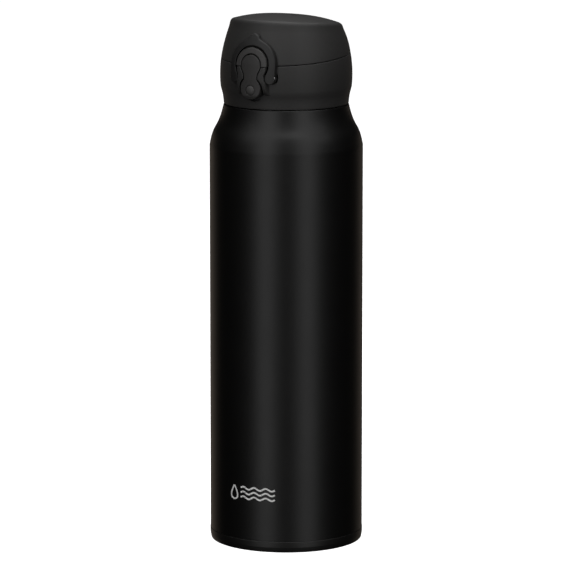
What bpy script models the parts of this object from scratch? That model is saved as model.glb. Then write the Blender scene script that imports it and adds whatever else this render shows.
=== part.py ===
"""Vacuum flask with a screw-on stopper, a hinged lid, a push button and a lock ring.

Metres, +Z up. The origin is the centre of the base, the flask stands on z = 0, the latch faces -Y and
the lid's hinge is at +Y.
"""

import math

import bmesh
import bpy
from mathutils import Matrix, Vector

MM = 0.001
GAP = 0.3 * MM

# Steps round a full turn.
OUTER_STEPS = 40
INNER_STEPS = 32
SMALL_STEPS = 16
BLANK_STEPS = 60
ARC_STEPS = 7

# Bottle.
BODY_R = 37.5 * MM
WALL = 0.6 * MM
BAND_R = 37.76 * MM
BAND_TOP = 6.0 * MM
REST_OUTER_R = 36.0 * MM
REST_INNER_R = 33.0 * MM
RECESS = 1.6 * MM
SHOULDER_START = 197.6 * MM
SHOULDER_TOP = 218.0 * MM
SHOULDER_TOP_R = 30.5 * MM
NECK_R = 25.6 * MM
MOUTH_Z = 233.2 * MM
BORE_R = 22.0 * MM
INNER_R = 34.0 * MM
INNER_WALL = 0.5 * MM
INNER_FLOOR = 8.0 * MM

# Screw thread between the neck and the stopper.
THREAD_STARTS = 2
THREAD_LEAD = 8.0 * MM
THREAD_DEPTH = 1.0 * MM
THREAD_TURN = math.radians(250)
NECK_THREAD_Z = 221.3 * MM
CORE_THREAD_Z = 223.3 * MM

# Cap: stopper below the seam, lid above it.
CAP_BOTTOM = 218.4 * MM
BARREL_R = 32.29 * MM
BARREL_Z = 232.5 * MM
BARREL_BOW = 61.0 * MM
BAND_END = 227.0 * MM
CAP_WALL = 2.0 * MM
SEAM_Z = 242.4 * MM
SEAM_SLOPE = 0.0857
RIM_Z = 258.2 * MM
RIM_SLOPE = -0.091
RIM_R = 26.8 * MM
RIM_ROUND = 1.6 * MM
DOME_RISE = 4.1 * MM

# Stopper's inside.
DECK_Z = 234.4 * MM
DECK_TOP = 236.4 * MM
SLEEVE_R = 28.2 * MM
SLEEVE_BORE = 26.9 * MM
PLUG_BOTTOM = 214.5 * MM
SPOUT_TOP = 250.0 * MM
SPOUT_BORE = 10.5 * MM

# Latch at the front. Widths are across the cap, heights are z.
LATCH_STAND = 2.6 * MM
PIN_Y = -32.1 * MM
PIN_Z = 234.3 * MM
PIN_R = 0.75 * MM
PIN_HALF = 12.0 * MM
DISC_Z = 240.2 * MM
DISC_R = 5.6 * MM
PAD_Z = 229.0 * MM
PAD_R = 5.4 * MM
WAIST_HALF = 3.5 * MM
ARCH_Z = 240.3 * MM
ARCH_OUTER = 8.25 * MM
ARCH_INNER = 6.0 * MM
RING_Z = 240.4 * MM
RING_INNER = 9.2 * MM
RING_OUTER = 12.4 * MM
LOBE_X = 9.95 * MM
LOBE_Z = 233.5 * MM
LOBE_R = 2.35 * MM
BUTTON_BACK = -30.3 * MM
HOOK_Z = 242.9 * MM

# Hinge at the back.
HINGE_Y = 33.2 * MM
HINGE_Z = 246.2 * MM
LID_PIVOT = (0, HINGE_Y, HINGE_Z)
KNUCKLE_R = 3.4 * MM
HINGE_PIN_R = 1.05 * MM
HINGE_BORE = 1.15 * MM
LID_KNUCKLE_HALF = 6.0 * MM
HINGE_HALF = 9.6 * MM
COIL_ROOM_R = 2.5 * MM
COIL_ROOM_HALF = 3.8 * MM

FAR = 60.0 * MM


def clear_scene():
    for obj in list(bpy.data.objects):
        bpy.data.objects.remove(obj, do_unlink=True)


def make_material(name, colour, roughness, metallic=0.0):
    material = bpy.data.materials.new(name)
    material.use_nodes = True
    shader = material.node_tree.nodes["Principled BSDF"]
    shader.inputs["Base Color"].default_value = (*colour, 1.0)
    shader.inputs["Roughness"].default_value = roughness
    shader.inputs["Metallic"].default_value = metallic
    return material


def finish_mesh(name, bm, finish, centre=(0, 0, 0)):
    """Makes a named object from the bmesh, with its origin at centre."""
    bmesh.ops.remove_doubles(bm, verts=bm.verts, dist=1e-6)
    bmesh.ops.dissolve_degenerate(bm, edges=bm.edges, dist=1e-7)
    bmesh.ops.recalc_face_normals(bm, faces=bm.faces)
    bmesh.ops.translate(bm, verts=bm.verts, vec=-Vector(centre))
    mesh = bpy.data.meshes.new(name)
    bm.to_mesh(mesh)
    bm.free()
    mesh.shade_smooth()
    mesh.set_sharp_from_angle(angle=math.radians(30))
    obj = bpy.data.objects.new(name, mesh)
    obj.location = centre
    bpy.context.collection.objects.link(obj)
    if finish is not None:
        mesh.materials.append(make_material(name, *finish))
    return obj


def as_cutter(obj):
    obj.hide_render = True
    obj.display_type = "WIRE"
    return obj


def combine(obj, operation, *tools):
    for tool in tools:
        as_cutter(tool)
        modifier = obj.modifiers.new(tool.name, "BOOLEAN")
        modifier.operation = operation
        modifier.solver = "EXACT"
        modifier.object = tool
    return obj


def arc(centre, radius, start, end, steps=ARC_STEPS):
    """Points (across, up) on an arc, from start to end in degrees."""
    angles = [math.radians(start + (end - start) * i / steps) for i in range(steps + 1)]
    return [(centre[0] + radius * math.cos(a), centre[1] + radius * math.sin(a)) for a in angles]


def bezier(first, first_pull, last_pull, last, steps):
    points = []
    for i in range(steps + 1):
        t = i / steps
        weights = ((1 - t) ** 3, 3 * (1 - t) ** 2 * t, 3 * (1 - t) * t * t, t**3)
        ends = (first, first_pull, last_pull, last)
        points.append(tuple(sum(w * p[k] for w, p in zip(weights, ends)) for k in (0, 1)))
    return points


def turned(name, outline, finish=None, steps=INNER_STEPS, centre=(0, 0, 0)):
    """A closed outline of (radius, z) points spun about Z."""
    bm = bmesh.new()
    verts = [bm.verts.new((r, 0.0, z)) for r, z in outline]
    pairs = zip(verts, verts[1:] + verts[:1])
    edges = [bm.edges.new(pair) for pair in pairs if pair[0].co.x + pair[1].co.x > 0]
    bmesh.ops.spin(
        bm,
        geom=verts + edges,
        cent=(0, 0, 0),
        axis=(0, 0, 1),
        angle=math.tau,
        steps=steps,
        use_merge=True,
    )
    return finish_mesh(name, bm, finish, centre)


def prism(name, outline, low, high, finish=None, centre=(0, 0, 0)):
    """A closed outline of (x, z) points extruded along Y from low to high."""
    bm = bmesh.new()
    face = bm.faces.new([bm.verts.new((x, low, z)) for x, z in outline])
    sides = bmesh.ops.extrude_face_region(bm, geom=[face])
    moved = [v for v in sides["geom"] if isinstance(v, bmesh.types.BMVert)]
    bmesh.ops.translate(bm, verts=moved, vec=(0, high - low, 0))
    return finish_mesh(name, bm, finish, centre)


def box(name, low, high):
    (x0, y0, z0), (x1, y1, z1) = low, high
    return prism(name, [(x0, z0), (x1, z0), (x1, z1), (x0, z1)], y0, y1)


def rod(name, radius, x_low, x_high, y, z, finish=None, steps=SMALL_STEPS, centre=(0, 0, 0)):
    """A round rod along X."""
    bm = bmesh.new()
    place = Matrix.Translation(((x_low + x_high) / 2, y, z)) @ Matrix.Rotation(math.pi / 2, 4, "Y")
    bmesh.ops.create_cone(
        bm,
        cap_ends=True,
        segments=steps,
        radius1=radius,
        radius2=radius,
        depth=x_high - x_low,
        matrix=place,
    )
    return finish_mesh(name, bm, finish, centre)


def skin(name, rings, finish=None, centre=(0, 0, 0)):
    """Bridges rings of points, each the same length, and closes the two ends with faces."""
    bm = bmesh.new()
    loops = [[bm.verts.new(p) for p in ring] for ring in rings]
    for lower, upper in zip(loops, loops[1:]):
        count = len(lower)
        for i in range(count):
            j = (i + 1) % count
            bm.faces.new((lower[i], lower[j], upper[j], upper[i]))
    bm.faces.new(loops[0])
    bm.faces.new(loops[-1])
    return finish_mesh(name, bm, finish, centre)


def wire_coil(name, radius, wire_r, length, turns, finish, centre, rotation):
    """A helical spring along its own Z, from -length/2 to length/2."""
    per_turn = 12
    curve = bpy.data.curves.new(name, "CURVE")
    curve.dimensions = "3D"
    curve.bevel_depth = wire_r
    curve.bevel_resolution = 1
    curve.use_fill_caps = True
    spline = curve.splines.new("POLY")
    count = int(turns * per_turn)
    spline.points.add(count)
    for i, point in enumerate(spline.points):
        angle = math.tau * i / per_turn
        along = length * (i / count - 0.5)
        point.co = (radius * math.cos(angle), radius * math.sin(angle), along, 1.0)
    curve.materials.append(make_material(name, *finish))
    obj = bpy.data.objects.new(name, curve)
    obj.location = centre
    obj.rotation_euler = rotation
    bpy.context.collection.objects.link(obj)
    return obj


def thread_ridge(name, start_angle, z, root_r, crest_r, root_half, crest_half):
    """One start of a screw thread, tapering to nothing at both ends. crest_r may be inside root_r."""
    steps = round(OUTER_STEPS * THREAD_TURN / math.tau)
    rings = []
    for i in range(steps + 1):
        t = i / steps
        angle = start_angle + THREAD_TURN * t
        height = z + THREAD_LEAD * THREAD_TURN * t / math.tau
        full = min(1.0, 4 * t + 0.15, 4 * (1 - t) + 0.15)
        crest = root_r + (crest_r - root_r) * full
        section = [
            (root_r, -root_half),
            (crest, -crest_half),
            (crest, crest_half),
            (root_r, root_half),
        ]
        rings.append(
            [(r * math.cos(angle), r * math.sin(angle), height + dz) for r, dz in section]
        )
    return skin(name, rings)


def barrel_radius(z, stand=0.0):
    """The cap's bulging side, and faces that stand out from it."""
    side = BARREL_R - BARREL_BOW + math.sqrt(BARREL_BOW**2 - (z - BARREL_Z) ** 2)
    return side + stand


def barrel_points(low, high, steps, stand=0.0):
    heights = [low + (high - low) * i / steps for i in range(steps + 1)]
    return [(barrel_radius(z, stand), z) for z in heights]


def band_points():
    """The cap's lower band, from its bottom edge up to the bulging side."""
    return bezier(
        (30.5 * MM, CAP_BOTTOM),
        (31.0 * MM, 224.6 * MM),
        (31.5 * MM, 223.8 * MM),
        (barrel_radius(BAND_END), BAND_END),
        4,
    )


def tilted_ring(height, slope, inset=0.0, steps=OUTER_STEPS):
    """A ring on the cap's side where it meets a plane that tilts about X."""
    ring = []
    for i in range(steps):
        angle = math.tau * i / steps
        z = height
        for _ in range(4):
            radius = barrel_radius(z) - inset
            z = height + slope * radius * math.sin(angle)
        ring.append((radius * math.cos(angle), radius * math.sin(angle), z))
    return ring


def dome_ring(radius, rise, drop=0.0, steps=OUTER_STEPS):
    """A ring on the lid's domed top, which tilts with the rim."""
    ring = []
    for i in range(steps):
        angle = math.tau * i / steps
        x, y = radius * math.cos(angle), radius * math.sin(angle)
        ring.append((x, y, RIM_Z + RIM_SLOPE * y + rise - drop))
    return ring


def half_space(name, height, slope, above):
    """A block whose one face is the tilted plane, filling the side above or below it."""
    near, far = height - slope * FAR, height + slope * FAR
    end = height + FAR if above else height - FAR
    corners = [(-FAR, near), (FAR, far), (FAR, end), (-FAR, end)]
    obj = prism(name, corners, -FAR, FAR)
    obj.rotation_euler = (0, 0, math.pi / 2)
    return obj


# ---------------------------------------------------------------- bottle


def outer_shell():
    shoulder = bezier(
        (BODY_R, SHOULDER_START),
        (35.6 * MM, 208.8 * MM),
        (33.8 * MM, 204.4 * MM),
        (SHOULDER_TOP_R, SHOULDER_TOP - 0.5 * MM),
        8,
    )
    inside = [(r - WALL, z - WALL * 0.4) for r, z in shoulder[::2]]
    root = NECK_R - WALL
    outline = [(BODY_R, BAND_TOP + GAP)]
    outline += shoulder
    outline += [
        (SHOULDER_TOP_R - 0.5 * MM, SHOULDER_TOP),
        (NECK_R + 0.8 * MM, SHOULDER_TOP),
        (NECK_R, SHOULDER_TOP + 0.8 * MM),
        (NECK_R, MOUTH_Z - 0.8 * MM),
        (root, MOUTH_Z - 0.8 * MM),
        (root, SHOULDER_TOP - WALL),
        (SHOULDER_TOP_R - 1.3 * MM, SHOULDER_TOP - WALL),
    ]
    outline += reversed(inside[:-1])
    outline += [(BODY_R - WALL, BAND_TOP + GAP)]
    shell = turned("outer_shell", outline, ((0.012, 0.011, 0.011), 0.35), OUTER_STEPS)
    for start in range(THREAD_STARTS):
        ridge = thread_ridge(
            f"neck_ridge_{start}",
            math.tau * start / THREAD_STARTS,
            NECK_THREAD_Z,
            NECK_R - 0.35 * MM,
            NECK_R + THREAD_DEPTH,
            0.8 * MM,
            0.4 * MM,
        )
        combine(shell, "UNION", ridge)
    return shell


def inner_bottle():
    wall = INNER_WALL
    side_top = 195.0 * MM
    neck_start = 211.0 * MM
    floor = INNER_FLOOR
    turn = bezier(
        (INNER_R, side_top),
        (INNER_R, 207.0 * MM),
        (BORE_R + wall, 202.0 * MM),
        (BORE_R + wall, neck_start),
        6,
    )
    corner = 6.0 * MM
    outline = [(0, floor + 1.2 * MM), (16 * MM, floor)]
    outline += arc((INNER_R - corner, floor + corner), corner, -90, 0, 3)
    outline += turn
    outline += [
        (BORE_R + wall, MOUTH_Z - wall),
        (NECK_R, MOUTH_Z - wall),
        (NECK_R, MOUTH_Z),
        (BORE_R, MOUTH_Z),
    ]
    outline += [(r - wall, z - wall * 0.3) for r, z in reversed(turn)]
    outline += [
        (r, z) for r, z in arc((INNER_R - corner, floor + corner), corner - wall, 0, -90, 3)
    ]
    outline += [(16 * MM, floor + wall), (0, floor + 1.2 * MM + wall)]
    return turned("inner_bottle", outline, ((0.62, 0.61, 0.58), 0.25, 1.0))


def base_cup():
    spigot_r = BODY_R - WALL - GAP
    plate = RECESS + 0.8 * MM
    outline = [
        (0, RECESS),
        (REST_INNER_R - 1.2 * MM, RECESS),
        (REST_INNER_R, 0),
        (REST_OUTER_R, 0),
        (BAND_R - 0.5 * MM, 0.6 * MM),
        (BAND_R, 2.0 * MM),
        (BAND_R, BAND_TOP - 0.2 * MM),
        (BAND_R - 0.25 * MM, BAND_TOP),
        (spigot_r, BAND_TOP),
        (spigot_r, 9.0 * MM),
        (spigot_r - WALL, 9.0 * MM),
        (spigot_r - WALL, plate + 0.8 * MM),
        (spigot_r - 1.8 * MM, plate),
        (0, plate),
    ]
    return turned("base_cup", outline, ((0.03, 0.028, 0.027), 0.4), OUTER_STEPS)


def bottom_plate():
    """The pressed plate that closes the vacuum space, with the evacuation hole at its centre."""
    wall = WALL
    top_r = BODY_R - WALL - GAP
    side_r = top_r - 1.2 * MM
    low = 4.0 * MM
    outline = [
        (1.0 * MM, low),
        (side_r, low),
        (side_r, 9.3 * MM),
        (top_r, 9.6 * MM),
        (top_r, 12.5 * MM),
        (top_r - wall, 12.5 * MM),
        (side_r - wall, 9.9 * MM),
        (side_r - wall, low + wall),
        (1.0 * MM, low + wall),
    ]
    return turned("bottom_plate", outline, ((0.55, 0.54, 0.52), 0.35, 1.0))


def vacuum_fittings():
    """The plug of the evacuation hole, the getter, the reflector and the base label."""
    low = 4.0 * MM
    turned(
        "seal_plug",
        [
            (0, low - GAP - 0.5 * MM),
            (3 * MM, low - GAP - 0.5 * MM),
            (3 * MM, low - GAP),
            (0.7 * MM, low - GAP),
            (0.7 * MM, low + WALL),
            (0, low + WALL),
        ],
        ((0.15, 0.16, 0.15), 0.2),
        SMALL_STEPS,
    )
    getter_low = low + WALL + GAP
    getter_high = getter_low + 2 * MM
    getter = [(0, getter_low), (4 * MM, getter_low), (4 * MM, getter_high), (0, getter_high)]
    place = (20 * MM, 0, 0)
    pellet = turned("getter", getter, ((0.30, 0.30, 0.31), 0.6, 0.8), SMALL_STEPS)
    pellet.location = place
    foil_r = INNER_R + GAP
    turned(
        "reflector_foil",
        [
            (foil_r, 16 * MM),
            (foil_r + 0.2 * MM, 16 * MM),
            (foil_r + 0.2 * MM, 194 * MM),
            (foil_r, 194 * MM),
        ],
        ((0.75, 0.38, 0.22), 0.25, 1.0),
    )
    label_high = RECESS - GAP
    label_low = label_high - 0.2 * MM
    turned(
        "base_label",
        [(0, label_low), (20 * MM, label_low), (20 * MM, label_high), (0, label_high)],
        ((0.6, 0.6, 0.6), 0.45, 0.3),
    )


# ---------------------------------------------------------------- stopper


def stopper_gasket():
    groove = 20.0 * MM
    outline = [
        (groove + GAP, 215.6 * MM),
        (21.2 * MM, 215.6 * MM),
        (BORE_R - GAP, 217.0 * MM),
        (21.2 * MM, 218.4 * MM),
        (groove + GAP, 218.4 * MM),
    ]
    return turned("stopper_gasket", outline, ((0.55, 0.55, 0.53), 0.6))


def stopper_core():
    """The inner moulding: threaded sleeve, deck and the plug that closes the neck."""
    thread_crest = NECK_R + GAP
    plug_r = 20.0 * MM
    collar_r = 21.3 * MM
    bore = 12.8 * MM
    flange_r = barrel_radius(DECK_TOP) - CAP_WALL - GAP
    outline = [
        (bore, PLUG_BOTTOM),
        (plug_r, PLUG_BOTTOM),
        (plug_r, 218.7 * MM),
        (collar_r, 219.1 * MM),
        (collar_r, DECK_Z),
        (SLEEVE_BORE, DECK_Z),
        (SLEEVE_BORE, CAP_BOTTOM + 0.4 * MM),
        (SLEEVE_R, CAP_BOTTOM + 0.4 * MM),
        (SLEEVE_R, DECK_Z),
        (flange_r, DECK_Z),
        (flange_r, DECK_TOP),
        (bore, DECK_TOP),
    ]
    core = turned("stopper_core", outline, ((0.02, 0.02, 0.02), 0.55), OUTER_STEPS)
    for start in range(THREAD_STARTS):
        ridge = thread_ridge(
            f"core_ridge_{start}",
            math.tau * start / THREAD_STARTS,
            CORE_THREAD_Z,
            SLEEVE_BORE + 0.35 * MM,
            thread_crest,
            0.8 * MM,
            0.4 * MM,
        )
        combine(core, "UNION", ridge)
    notch = box(
        "deck_notch",
        (-14 * MM, -FAR, DECK_Z - 1 * MM),
        (14 * MM, -24.2 * MM, DECK_TOP + 1 * MM),
    )
    return combine(core, "DIFFERENCE", notch)


def keyhole(grow):
    """Outline of the push button: a disc, a waist and a pad, widened all round by grow."""
    waist = WAIST_HALF + grow
    disc, pad = DISC_R + grow, PAD_R + grow
    disc_turn = math.degrees(math.asin(waist / disc))
    pad_turn = math.degrees(math.asin(waist / pad))
    outline = arc((0, DISC_Z), disc, -90 + disc_turn, 270 - disc_turn, 14)
    outline += arc((0, PAD_Z), pad, 90 + pad_turn, 450 - pad_turn, 14)
    return outline


def boss_outline():
    """The stopper's raised cheeks on both sides of the button's waist."""
    right = arc((0, ARCH_Z), ARCH_OUTER, 20, -33, 4)
    right += [(6.9 * MM, 234.4 * MM), (7.4 * MM, 231.4 * MM), (8.3 * MM, 228.6 * MM)]
    right += [(8.3 * MM, 225.5 * MM)]
    return right + [(-x, z) for x, z in reversed(right)]


def latch_blank(name, back, front, low=221.0 * MM, high=257.0 * MM):
    """A ring that follows the cap's side, between two distances from it."""
    outline = barrel_points(low, high, 7, front)
    outline += reversed(barrel_points(low, high, 7, back))
    return turned(name, outline, None, BLANK_STEPS)


def stopper_shell():
    seam = tilted_ring(SEAM_Z - GAP / 2, SEAM_SLOPE)
    rings = [level_ring(r, z) for r, z in band_points() + barrel_points(230 * MM, 236 * MM, 2)]
    rings += [seam, tilted_ring(SEAM_Z - GAP / 2, SEAM_SLOPE, CAP_WALL)]
    floor_r = SLEEVE_R + GAP
    rings += [level_ring(barrel_radius(z) - CAP_WALL, z) for z in (236 * MM, 228 * MM)]
    rings += [level_ring(floor_r, z) for z in (222 * MM, CAP_BOTTOM)]
    shell = wrap("stopper_shell", rings, ((0.045, 0.042, 0.040), 0.5))
    add_latch_mounting(shell)
    add_hinge_brackets(shell)
    return shell


def level_ring(radius, z):
    """A level ring of points."""
    angles = [math.tau * i / OUTER_STEPS for i in range(OUTER_STEPS)]
    return [(radius * math.cos(a), radius * math.sin(a), z) for a in angles]


def wrap(name, rings, finish=None):
    """Bridges rings round into a closed tube, the last to the first."""
    bm = bmesh.new()
    loops = [[bm.verts.new(p) for p in ring] for ring in rings]
    for lower, upper in zip(loops, loops[1:] + loops[:1]):
        count = len(lower)
        for i in range(count):
            j = (i + 1) % count
            bm.faces.new((lower[i], lower[j], upper[j], upper[i]))
    return finish_mesh(name, bm, finish)


def add_latch_mounting(shell):
    """Thickens the wall behind the latch, raises the cheeks and cuts the button's pocket."""
    block = turned(
        "latch_block",
        [
            (SLEEVE_R + 1.5 * GAP, 223.5 * MM),
            (30.6 * MM, 223.5 * MM),
            (barrel_radius(238 * MM) - 0.4 * MM, 226.5 * MM),
            (barrel_radius(238 * MM) - 0.4 * MM, 239.0 * MM),
            (SLEEVE_R + 1.5 * GAP, 239.0 * MM),
        ],
        None,
        BLANK_STEPS,
    )
    sector = box("latch_sector", (-13 * MM, -FAR, 200 * MM), (13 * MM, -20 * MM, 260 * MM))
    combine(block, "INTERSECT", sector)
    front = barrel_points(231.5 * MM, 243 * MM, 3, LATCH_STAND)
    outline = [(29.2 * MM, 225.2 * MM), (barrel_radius(226.8 * MM) - 0.2 * MM, 226.8 * MM)]
    outline += front + [(29.2 * MM, 243 * MM)]
    boss = turned("latch_boss", outline, None, BLANK_STEPS)
    combine(boss, "INTERSECT", prism("boss_shape", boss_outline(), -FAR, -20 * MM))
    above = half_space("boss_top", SEAM_Z - 0.7 * GAP, SEAM_SLOPE, True)
    combine(boss, "DIFFERENCE", above)
    combine(block, "UNION", boss)
    combine(shell, "UNION", block)
    pocket = prism("button_pocket", keyhole(0.35 * MM), -FAR, -29.4 * MM)
    pad_way = prism("pad_way", arc((0, PAD_Z), PAD_R + 0.2 * MM, 0, 342, 19), -FAR, -20 * MM)
    combine(shell, "DIFFERENCE", pocket, pad_way)
    for side, name in ((1, "right"), (-1, "left")):
        low, high = sorted((side * 7.25 * MM, side * 12.8 * MM))
        relief = rod(f"lobe_relief_{name}", 3.6 * MM, low, high, PIN_Y, PIN_Z, None, 24)
        combine(shell, "DIFFERENCE", relief)
    bore = rod("latch_bore", PIN_R + 0.1 * MM, -8 * MM, 8 * MM, PIN_Y, PIN_Z)
    combine(shell, "DIFFERENCE", bore)


def add_hinge_brackets(shell):
    """Two knuckles for the hinge pin, and the hollow that the lid's knuckle turns in."""
    for side, name in ((1, "right"), (-1, "left")):
        inner, outer = LID_KNUCKLE_HALF + GAP, HINGE_HALF
        low, high = sorted((side * inner, side * outer))
        knuckle = rod(f"side_knuckle_{name}", KNUCKLE_R, low, high, HINGE_Y, HINGE_Z, None, 20)
        web = box(
            f"side_web_{name}",
            (low + 0.2 * MM, 28.4 * MM, 238 * MM),
            (high - 0.2 * MM, HINGE_Y + 0.6 * KNUCKLE_R, HINGE_Z - 1.6 * MM),
        )
        combine(shell, "UNION", web, knuckle)
    half = LID_KNUCKLE_HALF + GAP
    hollow = rod("lid_knuckle_hollow", KNUCKLE_R + GAP, -half, half, HINGE_Y, HINGE_Z, None, 20)
    bore = rod("side_bores", HINGE_BORE, -FAR, FAR, HINGE_Y, HINGE_Z)
    combine(shell, "DIFFERENCE", hollow, bore)


def mouthpiece():
    outline = [
        (SPOUT_BORE, 216.0 * MM),
        (11.4 * MM, 216.0 * MM),
        (11.4 * MM, DECK_TOP + GAP),
        (25.0 * MM, DECK_TOP + GAP),
        (25.0 * MM, DECK_TOP + 1.6 * MM),
        (18.5 * MM, DECK_TOP + 2.0 * MM),
        (16.0 * MM, 240.5 * MM),
        (14.2 * MM, 246.0 * MM),
        (13.8 * MM, SPOUT_TOP - 0.8 * MM),
        (13.0 * MM, SPOUT_TOP),
        (11.6 * MM, SPOUT_TOP),
        (SPOUT_BORE, SPOUT_TOP - 0.8 * MM),
    ]
    return turned("mouthpiece", outline, ((0.03, 0.03, 0.03), 0.45))


def mouthpiece_gasket():
    outline = [
        (11.7 * MM, 219.0 * MM),
        (12.5 * MM, 219.8 * MM),
        (12.5 * MM, 221.2 * MM),
        (11.7 * MM, 222.0 * MM),
    ]
    return turned("mouthpiece_gasket", outline, ((0.55, 0.55, 0.53), 0.6))


def pins_and_springs():
    steel = ((0.60, 0.60, 0.60), 0.25, 1.0)
    rod("hinge_pin", HINGE_PIN_R, -HINGE_HALF, HINGE_HALF, HINGE_Y, HINGE_Z, steel)
    rod("latch_pin", PIN_R, -PIN_HALF, PIN_HALF, PIN_Y, PIN_Z, steel)
    wire_coil(
        "lid_spring",
        1.85 * MM,
        0.35 * MM,
        6.2 * MM,
        5,
        steel,
        (0, HINGE_Y, HINGE_Z),
        (0, math.pi / 2, 0),
    )
    wire_coil(
        "button_spring",
        1.6 * MM,
        0.25 * MM,
        3.4 * MM,
        3,
        steel,
        (0, -30.55 * MM, PAD_Z),
        (math.pi / 2, 0, 0),
    )


# ---------------------------------------------------------------- lid


def lid_shell():
    seam = SEAM_Z + GAP / 2
    side = 6
    rings = []
    for i in range(side):
        t = i / side
        height = seam + (RIM_Z - RIM_ROUND - seam) * t
        slope = SEAM_SLOPE + (RIM_SLOPE - SEAM_SLOPE) * t
        rings.append(tilted_ring(height, slope))
    rings.append(tilted_ring(RIM_Z - RIM_ROUND, RIM_SLOPE))
    rings.append(dome_ring(RIM_R - 0.35 * RIM_ROUND, 0.0, 0.25 * RIM_ROUND))
    for part in (0.94, 0.75, 0.5, 0.25, 0.02):
        rings.append(dome_ring(RIM_R * part, DOME_RISE * (1 - part * part)))
    outer = skin("lid_shell", rings, ((0.05, 0.047, 0.045), 0.5), LID_PIVOT)
    hollow = []
    for height, slope in ((seam - 3 * MM, SEAM_SLOPE), (250 * MM, 0.0), (RIM_Z - 3.4 * MM, RIM_SLOPE)):
        hollow.append(tilted_ring(height, slope, CAP_WALL))
    for part in (0.75, 0.4, 0.02):
        hollow.append(dome_ring(RIM_R * part, DOME_RISE * (1 - part * part) - 2.2 * MM))
    combine(outer, "DIFFERENCE", skin("lid_hollow", hollow))
    add_arch(outer)
    add_lid_knuckle(outer)
    return outer


def add_arch(shell):
    """The raised arch round the button's disc, the pocket behind the disc and the catch ledge."""
    below = half_space("lid_underside", SEAM_Z + GAP / 2, SEAM_SLOPE, False)
    arch = latch_blank("lid_arch", -1.0 * MM, LATCH_STAND)
    arch_shape = prism("arch_shape", arc((0, ARCH_Z), ARCH_OUTER, 0, 348, 29), -FAR, -20 * MM)
    combine(arch, "INTERSECT", arch_shape)
    combine(arch, "DIFFERENCE", below)
    backing = box("catch_wall", (-6.6 * MM, -29.2 * MM, 240.4 * MM), (6.6 * MM, -27.6 * MM, 248.0 * MM))
    combine(shell, "UNION", arch, backing)
    pocket = prism("disc_pocket", arc((0, ARCH_Z), ARCH_INNER, 0, 345, 23), -FAR, -29.0 * MM)
    combine(shell, "DIFFERENCE", pocket)
    ledge = box("catch_ledge", (-2.6 * MM, -30.6 * MM, 241.0 * MM), (2.6 * MM, -28.4 * MM, HOOK_Z - GAP))
    combine(shell, "UNION", ledge)


def add_lid_knuckle(shell):
    half = LID_KNUCKLE_HALF
    web = box(
        "lid_web",
        (0.2 * MM - half, 27.4 * MM, HINGE_Z + 0.4 * MM),
        (half - 0.2 * MM, HINGE_Y, HINGE_Z + KNUCKLE_R - 0.2 * MM),
    )
    knuckle = rod("lid_knuckle", KNUCKLE_R, -half, half, HINGE_Y, HINGE_Z, None, 20)
    combine(shell, "UNION", web, knuckle)
    for side, name in ((1, "right"), (-1, "left")):
        low, high = sorted((side * (half - 0.01 * MM), side * (HINGE_HALF + GAP)))
        hollow = rod(f"lid_relief_{name}", KNUCKLE_R + GAP, low, high, HINGE_Y, HINGE_Z, None, 20)
        combine(shell, "DIFFERENCE", hollow)
    bore = rod("lid_bore", HINGE_BORE, -FAR, FAR, HINGE_Y, HINGE_Z)
    room = rod("spring_room", COIL_ROOM_R, -COIL_ROOM_HALF, COIL_ROOM_HALF, HINGE_Y, HINGE_Z)
    combine(shell, "DIFFERENCE", bore, room)


def lid_liner():
    outline = [
        (0, 252.6 * MM),
        (15.4 * MM, 252.6 * MM),
        (16.2 * MM, 250.8 * MM),
        (23.4 * MM, 250.8 * MM),
        (23.8 * MM, 247.6 * MM),
        (25.0 * MM, 247.6 * MM),
        (24.8 * MM, 252.2 * MM),
        (17.0 * MM, 252.4 * MM),
        (16.2 * MM, 254.2 * MM),
        (0, 254.2 * MM),
    ]
    return turned("lid_liner", outline, ((0.03, 0.03, 0.03), 0.5), INNER_STEPS, LID_PIVOT)


def lid_gasket():
    top = 252.6 * MM - GAP
    low = SPOUT_TOP + GAP
    outline = [
        (0, 247.6 * MM),
        (8.6 * MM, 247.6 * MM),
        (9.8 * MM, low),
        (14.3 * MM, low),
        (14.3 * MM, top),
        (0, top),
    ]
    return turned("lid_gasket", outline, ((0.55, 0.55, 0.53), 0.6), INNER_STEPS, LID_PIVOT)


# ---------------------------------------------------------------- latch


def push_button():
    pivot = (0, PIN_Y, PIN_Z)
    button = prism(
        "push_button",
        keyhole(0.0),
        -FAR,
        BUTTON_BACK,
        ((0.06, 0.057, 0.055), 0.45),
        pivot,
    )
    face = [(20 * MM, 215 * MM), (33.9 * MM, 215 * MM)]
    face += [(33.9 * MM, 222.6 * MM), (34.6 * MM, 225.2 * MM)]
    face += [(r, z) for r, z in barrel_points(228 * MM, 248 * MM, 4, LATCH_STAND - 0.1 * MM)]
    face += [(20 * MM, 248 * MM)]
    combine(button, "INTERSECT", turned("button_face", face, None, BLANK_STEPS))
    behind = box("disc_back", (-FAR, -31.2 * MM, 237.5 * MM), (FAR, 0, 260 * MM))
    combine(button, "DIFFERENCE", behind)
    hook_top = HOOK_Z + 1.6 * MM
    hook = box("button_hook", (-2.2 * MM, -31.5 * MM, HOOK_Z), (2.2 * MM, -29.75 * MM, hook_top))
    combine(button, "UNION", hook)
    pad = bmesh.new()
    place = Matrix.Translation((0, -30.7 * MM, PAD_Z)) @ Matrix.Rotation(math.pi / 2, 4, "X")
    bmesh.ops.create_cone(
        pad,
        cap_ends=True,
        segments=SMALL_STEPS,
        radius1=2.3 * MM,
        radius2=2.3 * MM,
        depth=3.8 * MM,
        matrix=place,
    )
    combine(button, "DIFFERENCE", finish_mesh("spring_seat", pad, None))
    bore = rod("button_bore", PIN_R + 0.1 * MM, -6 * MM, 6 * MM, PIN_Y, PIN_Z)
    return combine(button, "DIFFERENCE", bore)


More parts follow.
